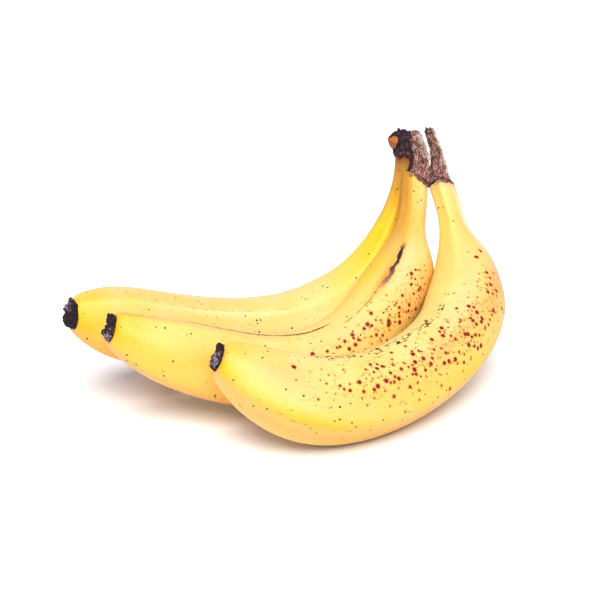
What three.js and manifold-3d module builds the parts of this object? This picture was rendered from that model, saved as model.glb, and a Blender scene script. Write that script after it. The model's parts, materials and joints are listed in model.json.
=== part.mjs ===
// A bunch of three bananas grown together at one dried crown, lying on their curved bellies.
// Millimetres, +Z up. The origin lies on the table under the middle of the bunch. The middle
// finger points along -X, with the crown raised at the +X end.

import * as THREE from "three";
import { mergeVertices } from "three/addons/utils/BufferGeometryUtils.js";
import Module from "manifold-3d";

const wasm = await Module();
wasm.setup();

// ---- Driving dimensions (mm and degrees) ----

// Each finger leaves the crown along one heading and arrives at its tip along another, both
// given as [azimuth, elevation]. Its centreline turns from one to the other in a plane, and
// `bend` says how sharply at seven even stations from the neck to the tip. The neck widens
// into the body between the two `shoulder` fractions of the length, and the body narrows to
// the tip from `taper` on. The neck's end is set back by `neckCut`, and `neckSlant` is the rise
// of its slant. The outside of the bend is hollow just before `kneeAt` and swells after it.
const fingers = {
  back: {
    neckAt: [77.2, 34.5, 84.6],
    leaves: [-130, -80.5],
    arrives: [170, 22],
    bend: [34, 19, 43, 24, 10, 4, 4],
    length: 212,
    bodyRadius: 15.6,
    neckRadius: 5,
    shoulder: [0.04, 0.45],
    taper: 0.82,
    neckCut: 0,
    neckSlant: 0,
    kneeAt: 0.165,
    kneeReach: 0.06,
    kneeHeight: 2,
    firstRidge: -42,
  },
  middle: {
    neckAt: [70.8, 22.2, 74.3],
    leaves: [-132.5, -51.5],
    arrives: [148.5, 31.5],
    bend: [4, 26, 20, 37, 26, 6, 21],
    length: 200,
    bodyRadius: 15.3,
    neckRadius: 5.7,
    shoulder: [0.05, 0.3],
    taper: 0.66,
    neckCut: -1.75,
    neckSlant: 2.75,
    kneeAt: 0.16,
    kneeReach: 0.06,
    kneeHeight: 3.4,
    firstRidge: -53,
  },
  front: {
    neckAt: [83.9, 18.1, 73.5],
    leaves: [-112.5, -40],
    arrives: [134, 32.5],
    bend: [2, 8, 42, 17, 18, 43, 9],
    length: 207,
    bodyRadius: 16.9,
    neckRadius: 5.4,
    shoulder: [0.07, 0.34],
    taper: 0.69,
    neckCut: 2.3,
    neckSlant: 0,
    kneeAt: 0.165,
    kneeReach: 0.06,
    kneeHeight: 2,
    firstRidge: -42,
  },
};
const tipRadius = 6.8;
const taperPower = 3.3;
const neckSlantSide = 30;
const tipSlant = 1.4;
const slantReach = 0.1;
const kneeSide = -145;

// The peel's five blunt ridges, even steps apart from each finger's `firstRidge` on. Angles
// count round the section, from the inside of the bend towards the side that faces the back
// finger. One face, between the last ridge and the first, is broader.
const ridgeCount = 5;
const ridgeStep = 63;
const ridgeWidth = 19;
const neckRidge = 0.12;
const bodyRidge = 0.045;
const tipRidge = 0.08;

// The dried stub that the flower leaves at the tip, a thin collar round a shallow dish.
const stubLength = 2.8;
const stubFoot = 0.92;
const stubWaist = 0.86;
const stubRim = 0.93;
const stubDishRadius = 0.6;
const stubDishDepth = 0.9;

// The crown's lobes, each a tapering stalk with oval sections. Every station holds the
// centre, the half width across the crown's torn face and the half depth behind it.
const crownLobes = [
  // Stalk of the back finger, rounded off on top.
  [
    { at: [77.2, 33.7, 84], wide: 5.2, deep: 5.2 },
    { at: [76.7, 35.7, 88], wide: 5.8, deep: 5.6 },
    { at: [77.2, 37.2, 91.5], wide: 5.4, deep: 5.4 },
    { at: [77.6, 38.2, 94.4], wide: 3.6, deep: 3.6 },
  ],
  // The knob on its side, cut off where the bunch was parted from its stem.
  [
    { at: [76.9, 36.2, 91.2], wide: 5, deep: 5 },
    { at: [73.9, 37.7, 91.5], wide: 4.9, deep: 4.9 },
    { at: [70.9, 38.2, 91.1], wide: 3.6, deep: 3.7 },
  ],
  // Stalk of the middle finger, the broadest part.
  [
    { at: [70.7, 22.2, 73.5], wide: 5, deep: 5 },
    { at: [75.3, 24.2, 79], wide: 5.1, deep: 5.2 },
    { at: [78.7, 27.4, 83.5], wide: 4.2, deep: 5 },
    { at: [78.9, 32.7, 88.5], wide: 5.6, deep: 5.4 },
    { at: [80.7, 36.7, 92.8], wide: 4.8, deep: 4.6 },
  ],
  // Stalk of the front finger, torn down to a narrow strip.
  [
    { at: [83.5, 16.6, 71.1], wide: 5.1, deep: 5.1 },
    { at: [87.2, 23.2, 78], wide: 4, deep: 4.8 },
    { at: [91.1, 29.9, 86], wide: 2.3, deep: 3.8 },
    { at: [93.7, 37.2, 93.3], wide: 2.2, deep: 2.8 },
  ],
  // Web that joins the last two below the split between them.
  [
    { at: [75.9, 23.6, 77.6], wide: 4, deep: 4.2 },
    { at: [79.9, 22, 76.5], wide: 5, deep: 4.4 },
    { at: [84.9, 21.5, 76.6], wide: 4, deep: 4.2 },
  ],
];
const tornFaceLooks = new THREE.Vector3(-0.63, -0.77, 0);

const gap = 0.3;
const fingerSides = 30;
const fingerStations = 46;
const lobeSides = 16;
const lobeStations = 8;

// ---- Materials ----

const peel = new THREE.MeshStandardMaterial({ color: 0xfce04a, roughness: 0.5, metalness: 0 });
const driedStalk = new THREE.MeshStandardMaterial({ color: 0x4a2e28, roughness: 0.9, metalness: 0 });
const driedFlower = new THREE.MeshStandardMaterial({ color: 0x2e1e1c, roughness: 0.9, metalness: 0 });

// ---- Small helpers ----

const clamp01 = (value) => THREE.MathUtils.clamp(value, 0, 1);
const radians = THREE.MathUtils.degToRad;

/** Unit vector along a heading of [azimuth, elevation] in degrees. */
function heading([azimuth, elevation]) {
  const level = Math.cos(radians(elevation));
  return new THREE.Vector3(
    level * Math.cos(radians(azimuth)),
    level * Math.sin(radians(azimuth)),
    Math.sin(radians(elevation)),
  );
}

/** Closed solid through a list of rings of equal size, with a flat fan on each end. */
function loft(rings) {
  const sides = rings[0].length;
  const points = rings.flat();
  const centres = [rings[0], rings.at(-1)].map((ring) =>
    ring.reduce((sum, point) => sum.add(point), new THREE.Vector3()).divideScalar(sides),
  );
  const [firstCentre, lastCentre] = [points.length, points.length + 1];
  const lastRing = (rings.length - 1) * sides;
  const faces = [];
  for (let side = 0; side < sides; side++) {
    const next = (side + 1) % sides;
    faces.push(firstCentre, next, side, lastCentre, lastRing + side, lastRing + next);
    for (let start = 0; start < lastRing; start += sides) {
      const [a, b] = [start + side, start + next];
      faces.push(a, b, b + sides, a, b + sides, a + sides);
    }
  }
  const geometry = new THREE.BufferGeometry().setFromPoints([...points, ...centres]);
  geometry.setIndex(faces);
  return geometry;
}

/** A ring of points round `centre`; `radiusAt` gives the radius at each angle from `up`. */
function ring(centre, up, across, sides, radiusAt) {
  return Array.from({ length: sides }, (_, side) => {
    const angle = (side * 2 * Math.PI) / sides;
    const reach = radiusAt(angle);
    return centre
      .clone()
      .addScaledVector(up, reach * Math.cos(angle))
      .addScaledVector(across, reach * Math.sin(angle));
  });
}

// ---- Fingers ----

/** How sharply a finger bends at `along`, read between its seven stations. */
function bendAt(bend, along) {
  const place = along * (bend.length - 1);
  const station = Math.min(Math.floor(place), bend.length - 2);
  return THREE.MathUtils.lerp(bend[station], bend[station + 1], place - station);
}

/** Centres and headings at even steps along a finger, and the normal of its bending plane. */
function centreline(finger) {
  const start = heading(finger.leaves);
  const end = heading(finger.arrives);
  const turn = start.angleTo(end);
  const planeNormal = start.clone().cross(end).normalize();

  const steps = fingerStations - 1;
  const turned = [0];
  for (let step = 1; step <= steps; step++) {
    const sharpness = bendAt(finger.bend, (step - 0.5) / steps);
    turned.push(turned[step - 1] + sharpness);
  }
  const headings = turned.map((amount) =>
    start.clone().applyAxisAngle(planeNormal, (turn * amount) / turned[steps]),
  );

  const centres = [new THREE.Vector3(...finger.neckAt)];
  for (let step = 1; step <= steps; step++) {
    const middle = headings[step - 1].clone().add(headings[step]).normalize();
    centres.push(centres[step - 1].clone().addScaledVector(middle, finger.length / steps));
  }
  return { centres, headings, planeNormal };
}

/** Mean radius of a finger at `along`, from its neck (0) to its tip (1). */
function girth(finger, along) {
  const shoulder = THREE.MathUtils.smoothstep(along, ...finger.shoulder);
  const taper = clamp01((along - finger.taper) / (1 - finger.taper)) ** taperPower;
  const body = THREE.MathUtils.lerp(finger.neckRadius, finger.bodyRadius, shoulder);
  return body - (finger.bodyRadius - tipRadius) * taper;
}

/** Height of the ridges at `along`, as a fraction of the radius. */
function ridgeHeight(finger, along) {
  const shoulder = THREE.MathUtils.smoothstep(along, ...finger.shoulder);
  const taper = clamp01((along - finger.taper) / (1 - finger.taper));
  return THREE.MathUtils.lerp(neckRidge, bodyRidge, shoulder) + (tipRidge - bodyRidge) * taper;
}

/** 1 on the crest of a ridge and 0 on the faces between, less its mean round the section. */
function ridgeLift(finger, angle) {
  let lift = 0;
  for (let ridge = 0; ridge < ridgeCount; ridge++) {
    const crest = radians(finger.firstRidge + ridge * ridgeStep);
    const away = Math.atan2(Math.sin(angle - crest), Math.cos(angle - crest));
    lift += Math.exp(-((away / radians(ridgeWidth)) ** 2));
  }
  const mean = (ridgeCount * Math.sqrt(Math.PI) * ridgeWidth) / 360;
  return lift - mean;
}

/** Swelling of a finger's knee at `along` and `angle`: a hollow first, then a bulge. */
function kneeLift(finger, along, angle) {
  const away = (along - finger.kneeAt) / finger.kneeReach;
  const facing = Math.max(0, Math.cos(angle - radians(kneeSide)));
  return finger.kneeHeight * away * Math.exp(-(away ** 2)) * facing;
}

/** Radius of a finger's five-ridged section at `along` and `angle`. */
function sectionRadius(finger, along, angle) {
  const ridged = girth(finger, along) * (1 + ridgeHeight(finger, along) * ridgeLift(finger, angle));
  return ridged + kneeLift(finger, along, angle);
}

/** How far a point at `along` and `angle` moves along the finger to shape the two ends. */
function endShift(finger, along, angle) {
  const nearNeck = clamp01(1 - along / slantReach);
  const nearTip = clamp01(1 - (1 - along) / slantReach);
  const neckSide = Math.cos(angle - radians(neckSlantSide));
  return tipSlant * Math.cos(angle) * nearTip + (finger.neckCut - finger.neckSlant * neckSide) * nearNeck;
}

/** A finger's rings; `grow` makes it larger all round, and longer at the neck. */
function fingerRings(finger, grow = 0) {
  const { centres, headings, planeNormal } = centreline(finger);
  return centres.map((centre, station) => {
    const along = station / (fingerStations - 1);
    const travel = headings[station];
    const inside = planeNormal.clone().cross(travel);
    const points = ring(centre, inside, planeNormal, fingerSides,
      (angle) => sectionRadius(finger, along, angle) + grow);
    const backwards = station === 0 ? 2 * grow : 0;
    points.forEach((point, side) => {
      const angle = (side * 2 * Math.PI) / fingerSides;
      point.addScaledVector(travel, endShift(finger, along, angle) - backwards);
    });
    return points;
  });
}

/** The dried stub at a finger's tip: a waisted collar with a dished end. */
function blossomEnd(finger) {
  const { centres, headings, planeNormal } = centreline(finger);
  const outward = headings.at(-1);
  const inside = planeNormal.clone().cross(outward);
  const profile = [
    { out: 0, scale: stubFoot },
    { out: stubLength * 0.45, scale: stubWaist },
    { out: stubLength, scale: stubRim },
    { out: stubLength, scale: stubRim * 0.84 },
    { out: stubLength - stubDishDepth, scale: stubDishRadius },
  ];
  return loft(profile.map(({ out, scale }) => {
    const centre = centres.at(-1).clone().addScaledVector(outward, gap + out);
    const points = ring(centre, inside, planeNormal, fingerSides,
      (angle) => sectionRadius(finger, 1, angle) * scale);
    points.forEach((point, side) => {
      const angle = (side * 2 * Math.PI) / fingerSides;
      point.addScaledVector(outward, endShift(finger, 1, angle) * scale);
    });
    return points;
  }));
}

// ---- Crown ----

/** A tapering stalk with oval sections, smooth through its stations. */
function lobe(stations) {
  const path = new THREE.CatmullRomCurve3(stations.map(({ at }) => new THREE.Vector3(...at)));
  const sizes = new THREE.CatmullRomCurve3(
    stations.map(({ wide, deep }) => new THREE.Vector3(wide, deep, 0)),
  );
  const rings = [];
  for (let step = 0; step < lobeStations; step++) {
    const along = step / (lobeStations - 1);
    const tangent = path.getTangent(along);
    const depth = tornFaceLooks.clone().projectOnPlane(tangent).normalize();
    const width = depth.clone().cross(tangent);
    const { x: wide, y: deep } = sizes.getPoint(along);
    rings.push(ring(path.getPoint(along), width, depth, lobeSides,
      (angle) => (wide * deep) / Math.hypot(deep * Math.cos(angle), wide * Math.sin(angle))));
  }
  return loft(rings);
}

/** A manifold-3d solid of a closed geometry. */
function solidOf(geometry) {
  const merged = mergeVertices(geometry);
  return new wasm.Manifold(new wasm.Mesh({
    numProp: 3,
    vertProperties: new Float32Array(merged.attributes.position.array),
    triVerts: new Uint32Array(merged.index.array),
  }));
}

/** The geometry of a manifold-3d solid. */
function geometryOf(solid) {
  const mesh = solid.getMesh();
  const geometry = new THREE.BufferGeometry();
  geometry.setAttribute("position", new THREE.BufferAttribute(mesh.vertProperties, 3));
  geometry.setIndex(new THREE.BufferAttribute(mesh.triVerts, 1));
  return geometry;
}

/** The joined lobes, cut back to a thin gap from the necks that they hold. */
function crown() {
  const joined = crownLobes
    .map((stations) => solidOf(lobe(stations)))
    .reduce((sum, next) => sum.add(next));
  const cleared = Object.values(fingers).reduce(
    (rest, finger) => rest.subtract(solidOf(loft(fingerRings(finger, gap)))),
    joined,
  );
  return geometryOf(cleared);
}

// ---- Assembly ----

/** A named mesh with flat normals ready for viewing. */
function piece(name, geometry, material) {
  geometry.computeVertexNormals();
  const mesh = new THREE.Mesh(geometry, material);
  mesh.name = name;
  return mesh;
}

const bunch = new THREE.Group();
for (const [place, finger] of Object.entries(fingers)) {
  bunch.add(piece(`finger_${place}`, loft(fingerRings(finger)), peel));
  bunch.add(piece(`blossom_end_${place}`, blossomEnd(finger), driedFlower));
}
bunch.add(piece("crown", crown(), driedStalk));

export default bunch;
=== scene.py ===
"""Looks of a bunch of three ripe bananas that hang together on one dried crown.

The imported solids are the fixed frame. Each finger is swept along its bent centreline by
Geometry Nodes and coloured from where on the peel a point lies. The dried flower stubs and the
torn crown are sculpted over their solids, and loose fibres are scattered on the crown's torn
face. Lengths in the classes are millimetres and angles are degrees, as in the CAD source.
"""

import json
import logging
import math
from dataclasses import dataclass, field
from enum import Enum
from typing import Iterable, Sequence

import bpy
from mathutils import Matrix, Vector, noise
from mathutils.bvhtree import BVHTree

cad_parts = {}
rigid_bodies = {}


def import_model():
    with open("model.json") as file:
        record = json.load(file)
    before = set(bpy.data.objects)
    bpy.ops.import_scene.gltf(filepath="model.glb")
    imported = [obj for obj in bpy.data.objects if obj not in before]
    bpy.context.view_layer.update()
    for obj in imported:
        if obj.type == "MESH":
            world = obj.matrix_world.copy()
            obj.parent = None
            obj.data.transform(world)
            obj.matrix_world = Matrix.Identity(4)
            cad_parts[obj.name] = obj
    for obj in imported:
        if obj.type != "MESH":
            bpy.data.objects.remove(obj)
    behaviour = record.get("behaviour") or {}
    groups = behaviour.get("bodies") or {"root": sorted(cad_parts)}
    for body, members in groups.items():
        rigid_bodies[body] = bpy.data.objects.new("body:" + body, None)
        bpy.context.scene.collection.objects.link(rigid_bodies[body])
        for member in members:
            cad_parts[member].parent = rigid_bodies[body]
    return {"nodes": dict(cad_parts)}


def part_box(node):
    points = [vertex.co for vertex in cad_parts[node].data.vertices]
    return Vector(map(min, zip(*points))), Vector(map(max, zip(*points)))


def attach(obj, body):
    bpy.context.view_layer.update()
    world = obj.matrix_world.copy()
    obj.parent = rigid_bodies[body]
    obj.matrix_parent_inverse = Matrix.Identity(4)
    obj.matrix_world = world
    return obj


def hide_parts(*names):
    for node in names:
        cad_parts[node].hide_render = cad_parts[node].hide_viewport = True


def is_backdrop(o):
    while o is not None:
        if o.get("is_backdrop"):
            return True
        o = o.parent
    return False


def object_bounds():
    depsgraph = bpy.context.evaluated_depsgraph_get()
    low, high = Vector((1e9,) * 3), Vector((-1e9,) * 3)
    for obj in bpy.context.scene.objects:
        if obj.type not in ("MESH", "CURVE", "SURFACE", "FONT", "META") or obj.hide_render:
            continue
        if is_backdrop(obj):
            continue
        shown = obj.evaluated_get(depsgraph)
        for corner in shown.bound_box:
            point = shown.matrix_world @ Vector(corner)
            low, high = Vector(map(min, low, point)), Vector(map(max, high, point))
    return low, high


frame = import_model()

LOG = logging.getLogger("bananas")
MM = 0.001
TURN = 2 * math.pi


# ---- Node trees ----


class Node(str, Enum):
    """The kinds of node that the trees here use."""

    MATH = "ShaderNodeMath"
    VECTOR_MATH = "ShaderNodeVectorMath"
    RANGE = "ShaderNodeMapRange"
    MIX = "ShaderNodeMix"
    NOISE = "ShaderNodeTexNoise"
    VORONOI = "ShaderNodeTexVoronoi"
    ATTRIBUTE = "ShaderNodeAttribute"
    COORDINATES = "ShaderNodeTexCoord"
    SPLIT_VECTOR = "ShaderNodeSeparateXYZ"
    JOIN_VECTOR = "ShaderNodeCombineXYZ"
    SPLIT_COLOUR = "ShaderNodeSeparateColor"
    BUMP = "ShaderNodeBump"
    SURFACE = "ShaderNodeBsdfPrincipled"
    MATERIAL_OUTPUT = "ShaderNodeOutputMaterial"
    GROUP_INPUT = "NodeGroupInput"
    GROUP_OUTPUT = "NodeGroupOutput"
    GRID = "GeometryNodeMeshGrid"
    POSITION = "GeometryNodeInputPosition"
    NORMAL = "GeometryNodeInputNormal"
    NAMED = "GeometryNodeInputNamedAttribute"
    MESH_TO_CURVE = "GeometryNodeMeshToCurve"
    SAMPLE_CURVE = "GeometryNodeSampleCurve"
    SET_POSITION = "GeometryNodeSetPosition"
    STORE = "GeometryNodeStoreNamedAttribute"
    MERGE = "GeometryNodeMergeByDistance"
    SCATTER = "GeometryNodeDistributePointsOnFaces"
    INSTANCE = "GeometryNodeInstanceOnPoints"
    ALIGN = "FunctionNodeAlignRotationToVector"
    TURN_BY = "FunctionNodeRotateRotation"
    EULER = "FunctionNodeEulerToRotation"
    RANDOM = "FunctionNodeRandomValue"
    LINE = "GeometryNodeCurvePrimitiveLine"
    CIRCLE = "GeometryNodeCurvePrimitiveCircle"
    RESAMPLE = "GeometryNodeResampleCurve"
    ALONG_CURVE = "GeometryNodeSplineParameter"
    CURVE_TO_MESH = "GeometryNodeCurveToMesh"
    REALIZE = "GeometryNodeRealizeInstances"
    SET_MATERIAL = "GeometryNodeSetMaterial"


class Field:
    """An output of a node, with a value at each point; arithmetic on it adds Math nodes."""

    def __init__(self, owner: "Tree", node: bpy.types.Node, output: "int | str") -> None:
        """Points at one output of a node.

        Args:
            owner: The tree that holds the node.
            node: The node.
            output: The output's number or name.
        """
        self.owner = owner
        self.node = node
        self.output = output

    def other(self, output: "int | str") -> "Field":
        """Another output of the same node."""
        return Field(self.owner, self.node, output)

    def into(self, kind: Node, *others: object, **settings: object) -> "Field":
        """New node that takes this value first and the others after it."""
        return self.owner.add(kind, (self, *others), **settings)

    def __add__(self, other: "Field | float") -> "Field":
        """Sum."""
        return self.into(Node.MATH, other, operation="ADD")

    def __sub__(self, other: "Field | float") -> "Field":
        """Difference."""
        return self.into(Node.MATH, other, operation="SUBTRACT")

    def __rsub__(self, other: float) -> "Field":
        """Difference from a number."""
        return self.owner.add(Node.MATH, (other, self), operation="SUBTRACT")

    def __mul__(self, other: "Field | float") -> "Field":
        """Product."""
        return self.into(Node.MATH, other, operation="MULTIPLY")

    def __truediv__(self, other: "Field | float") -> "Field":
        """Quotient."""
        return self.into(Node.MATH, other, operation="DIVIDE")

    def __pow__(self, other: "Field | float") -> "Field":
        """Power."""
        return self.into(Node.MATH, other, operation="POWER")

    __radd__ = __add__
    __rmul__ = __mul__

    def clamped(self) -> "Field":
        """This value kept between 0 and 1."""
        return self.into(Node.MATH, 0.0, operation="ADD", use_clamp=True)

    def wrapped(self) -> "Field":
        """This angle brought between minus and plus half a turn."""
        return self.into(Node.MATH, math.pi, -math.pi, operation="WRAP")

    def bell(self) -> "Field":
        """Bell curve that is 1 where this value is 0."""
        return (self * self * -1.0).into(Node.MATH, operation="EXPONENT")

    def step(self, low: "Field | float", high: "Field | float") -> "Field":
        """Smooth step from 0 at `low` to 1 at `high`; it falls where `low` is the higher."""
        return self.into(Node.RANGE, low, high, interpolation_type="SMOOTHSTEP")


class Tree:
    """A node tree that is being built."""

    def __init__(self, tree: bpy.types.NodeTree) -> None:
        """Takes the empty tree."""
        self.tree = tree

    def add(
        self,
        kind: Node,
        inputs: "Sequence | dict" = (),
        output: "int | str" = 0,
        **settings: object,
    ) -> Field:
        """Adds one node with its settings, its values and its links.

        Args:
            kind: The kind of node.
            inputs: A value or a Field for each input, by order or by name or number.
            output: The output that is read, by number or by name.
            **settings: The node's own properties.

        Returns:
            That output.
        """
        made = self.tree.nodes.new(kind.value)
        for name, value in settings.items():
            setattr(made, name, value)
        for key, value in inputs.items() if isinstance(inputs, dict) else enumerate(inputs):
            if isinstance(value, Field):
                self.tree.links.new(value.node.outputs[value.output], made.inputs[key])
            else:
                made.inputs[key].default_value = value
        return Field(self, made, output)

    def clouds(
        self,
        at: Field,
        size: float,
        detail: float = 2.0,
        levels: "tuple[Field | float, Field | float] | None" = None,
    ) -> Field:
        """Cloudy pattern of a real size.

        Args:
            at: Coordinates in metres.
            size: Width of its blotches in millimetres.
            detail: Number of finer layers.
            levels: Where it starts to show and shows in full; without them it goes about 0.5.

        Returns:
            The pattern.
        """
        inputs = {"Vector": at, "Scale": 1 / (size * MM), "Detail": detail}
        pattern = self.add(Node.NOISE, inputs)
        return pattern.step(*levels) if levels else pattern


def linear(code: str) -> tuple[float, float, float, float]:
    """Linear colour, with full alpha, of an sRGB hex value.

    Args:
        code: The colour as "#rrggbb".

    Returns:
        Red, green, blue and alpha.
    """
    parts = [int(code[place : place + 2], 16) / 255 for place in (1, 3, 5)]
    lit = [part / 12.92 if part <= 0.04045 else ((part + 0.055) / 1.055) ** 2.4 for part in parts]
    return (*lit, 1.0)


# ---- Materials ----


@dataclass(frozen=True)
class Blotches:
    """Cloudy blotches of another colour.

    Args:
        colour: Their colour.
        size: Their width in millimetres.
        detail: Number of finer layers in their edges.
        start: Level of the cloudy pattern where they start to show.
        full: Level where they show in full.
        share: How much of the ground they then hide.
    """

    colour: str
    size: float
    detail: float
    start: float
    full: float
    share: float = 1.0


@dataclass(frozen=True)
class Spots:
    """A kind of round spot.

    Args:
        colour: Its colour.
        spacing: Distance from one to the next in millimetres.
        smallest: Radius of the smallest in millimetres.
        largest: Radius of the largest in millimetres.
        share: How much of the ground it hides.
        sharpness: Share of the radius that is in full colour.
        ragged: How far its edge wanders, as a share of the spacing.
    """

    colour: str
    spacing: float
    smallest: float
    largest: float
    share: float = 1.0
    sharpness: float = 0.75
    ragged: float = 0.12


# A colour, or its hex value, and how much of what is under it it hides.
Coat = tuple["Field | str", "Field | float"]


class Shader(Tree):
    """A material being built, with patterns that lie at real sizes on the object."""

    # Numbers of the Mix node's sockets for colour.
    SHARE, UNDER, OVER, MIXED = 0, 6, 7, 2

    def __init__(self, name: str) -> None:
        """Starts an empty material.

        Args:
            name: The material's name.
        """
        self.material = bpy.data.materials.new(name)
        self.material.use_nodes = True
        self.material.node_tree.nodes.clear()
        super().__init__(self.material.node_tree)
        self.place = self.add(Node.COORDINATES, output="Object")

    def mottle(self, size: float, detail: float = 2.0, *levels: float) -> Field:
        """Cloudy pattern on the object's own coordinates."""
        return self.clouds(self.place, size, detail, levels or None)

    def blotched(self, *kinds: Blotches) -> list[Coat]:
        """A coat for each kind of blotch."""
        patterns = [self.mottle(kind.size, kind.detail, kind.start, kind.full) for kind in kinds]
        return [(kind.colour, mask * kind.share) for kind, mask in zip(kinds, patterns)]

    def painted(self, ground: "Field | str", coats: Iterable[Coat]) -> Field:
        """Lays coats of colour over a ground.

        Args:
            ground: The colour underneath, as a Field or a hex value.
            coats: What is laid over it, from the lowest to the topmost.

        Returns:
            The colour of all together.
        """
        for coat, share in coats:
            tones = [linear(tone) if isinstance(tone, str) else tone for tone in (ground, coat)]
            inputs = {self.SHARE: share, self.UNDER: tones[0], self.OVER: tones[1]}
            ground = self.add(Node.MIX, inputs, self.MIXED, data_type="RGBA")
        return ground

    def spots(
        self, spots: Spots, density: "Field | float", seed: float, grown: float = 1.0
    ) -> Field:
        """Round spots scattered in space, so that each leaves a disc where the surface cuts it.

        Args:
            spots: Their spacing and sizes.
            density: Share of the places that hold one.
            seed: Another seed gives another scatter.
            grown: Factor on their radius, as for a halo.

        Returns:
            How much of the ground they hide, which is 0 outside them.
        """
        wobble = (self.mottle(spots.largest, 1.0) - 0.5) * spots.ragged
        shift = (seed + spots.spacing, seed, 0.0)
        at = self.place.into(Node.VECTOR_MATH, shift, operation="ADD")
        cells = self.add(Node.VORONOI, {"Vector": at, "Scale": 1 / (spots.spacing * MM)})
        chance = cells.other("Color").into(Node.SPLIT_COLOUR)
        picked = chance.into(Node.MATH, density, operation="LESS_THAN")
        spread = chance.other("Green") * (spots.largest - spots.smallest)
        radius = (spread + spots.smallest) * (grown / spots.spacing)
        inside = (cells + wobble).step(radius, radius * spots.sharpness)
        return inside * picked * spots.share

    def finish(
        self,
        colour: Field,
        height: Field,
        relief: float,
        roughness: "Field | float",
        ior: float,
        **constants: float,
    ) -> bpy.types.Material:
        """Joins the colour, bump and gloss to the surface.

        Args:
            colour: Base colour.
            height: Bump height, from 0 to 1.
            relief: What a height of 1 stands for, in millimetres.
            roughness: Roughness of the surface.
            ior: Index of refraction.
            **constants: Other inputs of the principled surface, by name.

        Returns:
            The material.
        """
        normal = self.add(Node.BUMP, {"Distance": relief * MM, "Height": height})
        inputs = {"Base Color": colour, "Roughness": roughness, "Normal": normal, "IOR": ior}
        surface = self.add(Node.SURFACE, {**inputs, **constants})
        self.add(Node.MATERIAL_OUTPUT, {"Surface": surface})
        return self.material


@dataclass(frozen=True)
class Patch:
    """A zone of the peel, about a point `along` the finger and `round` its section.

    Args:
        along: Fraction of the length.
        round: Degrees round the section.
        reach: Half length, as a fraction of the length.
        spread: Half width in degrees.
        strength: Value at its middle.
    """

    along: float
    round: float
    reach: float
    spread: float
    strength: float = 1.0


@dataclass(frozen=True)
class Tint:
    """A colour laid over a zone of the peel."""

    colour: str
    patch: Patch


@dataclass(frozen=True)
class ScuffAndShadeLine:
    """A rubbed line, and at creases a line of painted shade, along the finger at one angle of its
    section.

    Args:
        round: Degrees round the section.
        start: Fraction of the length where it starts.
        end: Fraction of the length where it ends.
        width: Half width in millimetres.
        colour: Its colour.
        broken: Share of it that is missing.
        strength: How much of the peel's colour it hides.
    """

    round: float
    start: float
    end: float
    width: float
    colour: str
    broken: float = 0.3
    strength: float = 1.0


@dataclass(frozen=True)
class Dashes:
    """Fine short marks that follow a ridge, within `width` millimetres of it."""

    round: float
    start: float
    end: float
    width: float
    share: float = 0.4


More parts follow.
